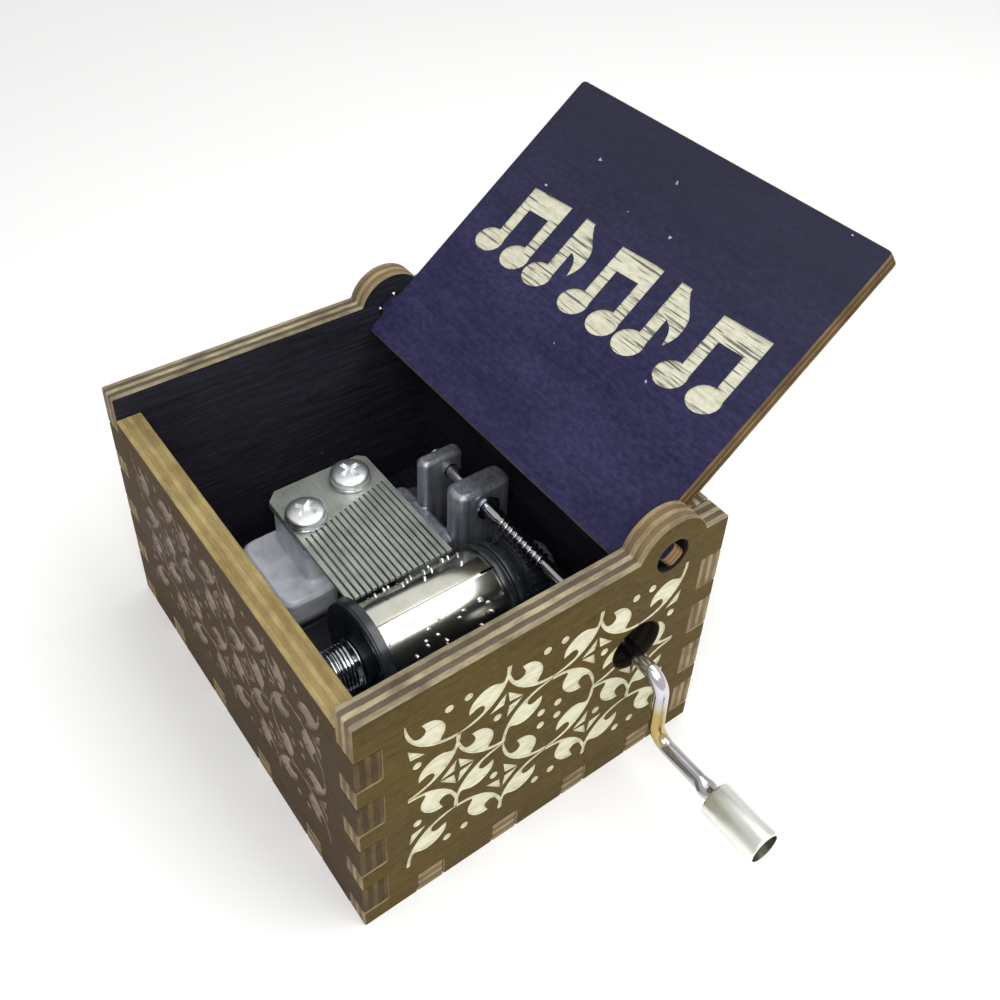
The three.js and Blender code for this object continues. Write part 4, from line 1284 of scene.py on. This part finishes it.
def bend(corner, before, after):
    """A quarter turn of wire round a corner, from one direction to the next."""
    start = corner - before * BEND
    centre = start + after * BEND
    out = []
    for i in range(BEND_STEPS + 1):
        angle = PI / 2 * i / BEND_STEPS
        out.append(centre - after * (BEND * math.cos(angle)) + before * (BEND * math.sin(angle)))
    return out


def eased(t):
    t = min(max(t, 0), 1)
    return t * t * (3 - 2 * t)


def crimp(point):
    """Half widths of the wire: pressed flat into two wings just before the knob."""
    ramp = 1.1
    flat = min(eased((point.x - WINGS[0]) / ramp), eased((WINGS[1] - point.x) / ramp))
    return 1 + 0.3 * flat, 1 - 0.22 * flat


def make_crank():
    """One bent wire with the worm rolled on it and the leg's end riveted over."""
    low = span("crank_shaft")[0]
    out = Vector((1, 0, 0))
    corner, leg = Vector((CRANK_X, SHAFT.y, SHAFT.z)), Vector((CRANK_X, KNOB.y, KNOB.z))
    down = (leg - corner).normalized()
    worm_end = WORM_START + WORM_TURNS * WORM_PITCH
    stations = (low.x, low.x + 0.15, WORM_START - 0.6, WORM_START - 0.2, worm_end + 0.2, worm_end + 0.6)
    shaft = [Vector((x, SHAFT.y, SHAFT.z)) for x in stations]
    path = shaft + bend(corner, out, down) + bend(leg, down, out)
    path += [Vector((WINGS[0] - 0.3 + 0.1 * i, KNOB.y, KNOB.z)) for i in range(29)]
    path += [Vector((RIVET_X - 0.4, KNOB.y, KNOB.z))]
    build = Build()

    def widths(point):
        if point.x < low.x + 0.1:
            return 0.88, 0.88
        if WORM_START - 0.4 < point.x < worm_end + 0.4:
            return WORM_ROOT, WORM_ROOT
        return crimp(point) if point.z < SHAFT.z - 6 and point.x > CRANK_X + 4 else (1, 1)

    tube(build, path, WIRE, 32, widths=widths)
    revolve(build, [(radius, RIVET_X + along) for radius, along in RIVET_HEAD], round_x(KNOB), 32)
    thread_worm(build)
    show(build.mesh("crank_shaft_wire", 40), "crank_shaft", "wire", [CHROME], "crank")


def thread_worm(build):
    """The worm: a ridge wound along the shaft, fading in and out at its ends."""
    steps = 40
    buried = WORM_ROOT - 0.06
    section = [(-0.36, buried), (-0.25, 1.02), (-0.13, WORM_TIP - 0.04), (0, WORM_TIP),
               (0.13, WORM_TIP - 0.04), (0.25, 1.02), (0.36, buried)]
    count = len(section)
    total = round(WORM_TURNS * steps)
    points = []
    for i in range(total + 1):
        x = WORM_START + i * WORM_PITCH / steps
        angle = -PI / 2 + 2 * PI * (x - BARREL.x) / WORM_PITCH
        fade = eased(min(i, total - i) / (steps / 3))
        for along, radius in section:
            reach = buried + (radius - buried) * fade
            points.append((x + along, SHAFT.y + reach * math.cos(angle), SHAFT.z + reach * math.sin(angle)))
    faces = []
    for first in range(0, total * count, count):
        for a in range(count):
            b = (a + 1) % count
            faces.append([first + a, first + count + a, first + count + b, first + b])
    faces += [list(range(count)), list(range(total * count, total * count + count))[::-1]]
    build.add(points, faces)


def make_collars():
    """The two rings that keep the shaft in its posts."""
    for name in ("shaft_collar_outer", "shaft_collar_inner"):
        low, high = span(name)
        build = Build()
        revolve(build, ring(WIRE + 0.03, (high.z - low.z) / 2, low.x, high.x, 0.12), round_x(SHAFT), 40)
        show(build, name, "ring", [BRIGHT], "crank")


def make_knob():
    """A thin rolled sleeve, open at its flared end."""
    low, high = span("crank_knob")
    radius = (high.z - low.z) / 2
    start, end = low.x, high.x
    bore = WIRE + 0.3
    profile = rounded([
        (bore, start), (radius - 0.16, start), (radius - 0.06, start + 0.3), (radius - 0.06, end - 1.0),
        (radius, end - 0.4), (radius, end), (radius - 0.5, end), (radius - 0.55, end - 2.4),
        (bore, end - 2.4)], 0.14)
    build = Build()
    revolve(build, profile, round_x(KNOB), 96)

    def inside(face):
        around = [build.points[i] - Vector((0, KNOB.y, KNOB.z)) for i in face]
        return all(p.x > end - 2.6 and math.hypot(p.y, p.z) < radius - 0.45 for p in around)

    # the faces inside the open end take the darker copy of the nickel: painted shade
    build.slots = [1 if inside(face) else 0 for face in build.faces]
    show(build, "crank_knob", "sleeve", [NICKEL, KNOB_BORE_SHADE], "knob")


make_frame()
make_comb()
make_comb_screws()
make_frame_screws()
make_sleeve()
make_pins()
make_caps()
make_arbor()
make_spring()
make_crank()
make_collars()
make_knob()


# ------------------------------------------------------------------ floor, light and camera
FLOOR_RADIUS = 3000
SKY_STRENGTH = 0.74


def make_floor():
    finish = Finish("studio_floor", Roughness=0.9)
    tone = finish.noise(finish.space(0.004, 0.004, 0.004), 1.0, 2)
    finish.done(finish.ramp(tone, (0.3, "#f9f9f8"), (0.7, "#fcfcfb")))
    build = Build()
    edge = circle((0, 0), FLOOR_RADIUS, 96)
    build.add([(*p, 0) for p in edge], [list(range(len(edge)))])
    floor = linked("floor", build.mesh("floor"))
    floor.data.materials.append(finish.material)


def soft_light(name, place, aim, size, watts):
    lamp = bpy.data.lights.new(name, "AREA")
    lamp.shape = "RECTANGLE"
    lamp.size, lamp.size_y = size[0] * MM, size[1] * MM
    lamp.energy = watts
    item = linked(name, lamp)
    item.location = Vector(place) * MM
    item.rotation_euler = (Vector(aim) - Vector(place)).to_track_quat("-Z", "Y").to_euler()


def make_light():
    world = bpy.data.worlds.new("studio")
    bpy.context.scene.world = world
    world.use_nodes = True
    background = world.node_tree.nodes["Background"]
    background.inputs["Color"].default_value = (1, 1, 1, 1)
    background.inputs["Strength"].default_value = SKY_STRENGTH
    soft_light("overhead", (128, 130, 300), (128, 130, 0), (342, 240), 0.6)
    soft_light("front", (150, -110, 235), (0, 0, 15), (150, 150), 0.3)
    bpy.context.scene.view_settings.view_transform = "Standard"


CAMERA_AZIMUTH = 51.8  # degrees round from the front
CAMERA_ELEVATION = 38.73
CAMERA_ROLL = 2.777
CAMERA_DISTANCE = 137.35
CAMERA_AIM = Vector((6.0, 10.79, 48.58))
FOCAL_LENGTH = 40.716
FRAMING_SHIFT = -0.1156


def make_camera():
    camera = bpy.data.cameras.new("camera")
    camera.sensor_width = 36
    camera.lens = FOCAL_LENGTH
    camera.shift_y = FRAMING_SHIFT
    camera.clip_start, camera.clip_end = 0.01, 20
    around, above = math.radians(CAMERA_AZIMUTH), math.radians(CAMERA_ELEVATION)
    back = Vector((math.sin(around) * math.cos(above), -math.cos(around) * math.cos(above), math.sin(above)))
    item = linked("camera", camera)
    turn = (-back).to_track_quat("-Z", "Y").to_matrix().to_4x4()
    roll = Matrix.Rotation(math.radians(CAMERA_ROLL), 4, "Z")
    item.matrix_world = Matrix.Translation((CAMERA_AIM + back * CAMERA_DISTANCE) * MM) @ turn @ roll
    bpy.context.scene.camera = item


make_floor()
make_light()
make_camera()
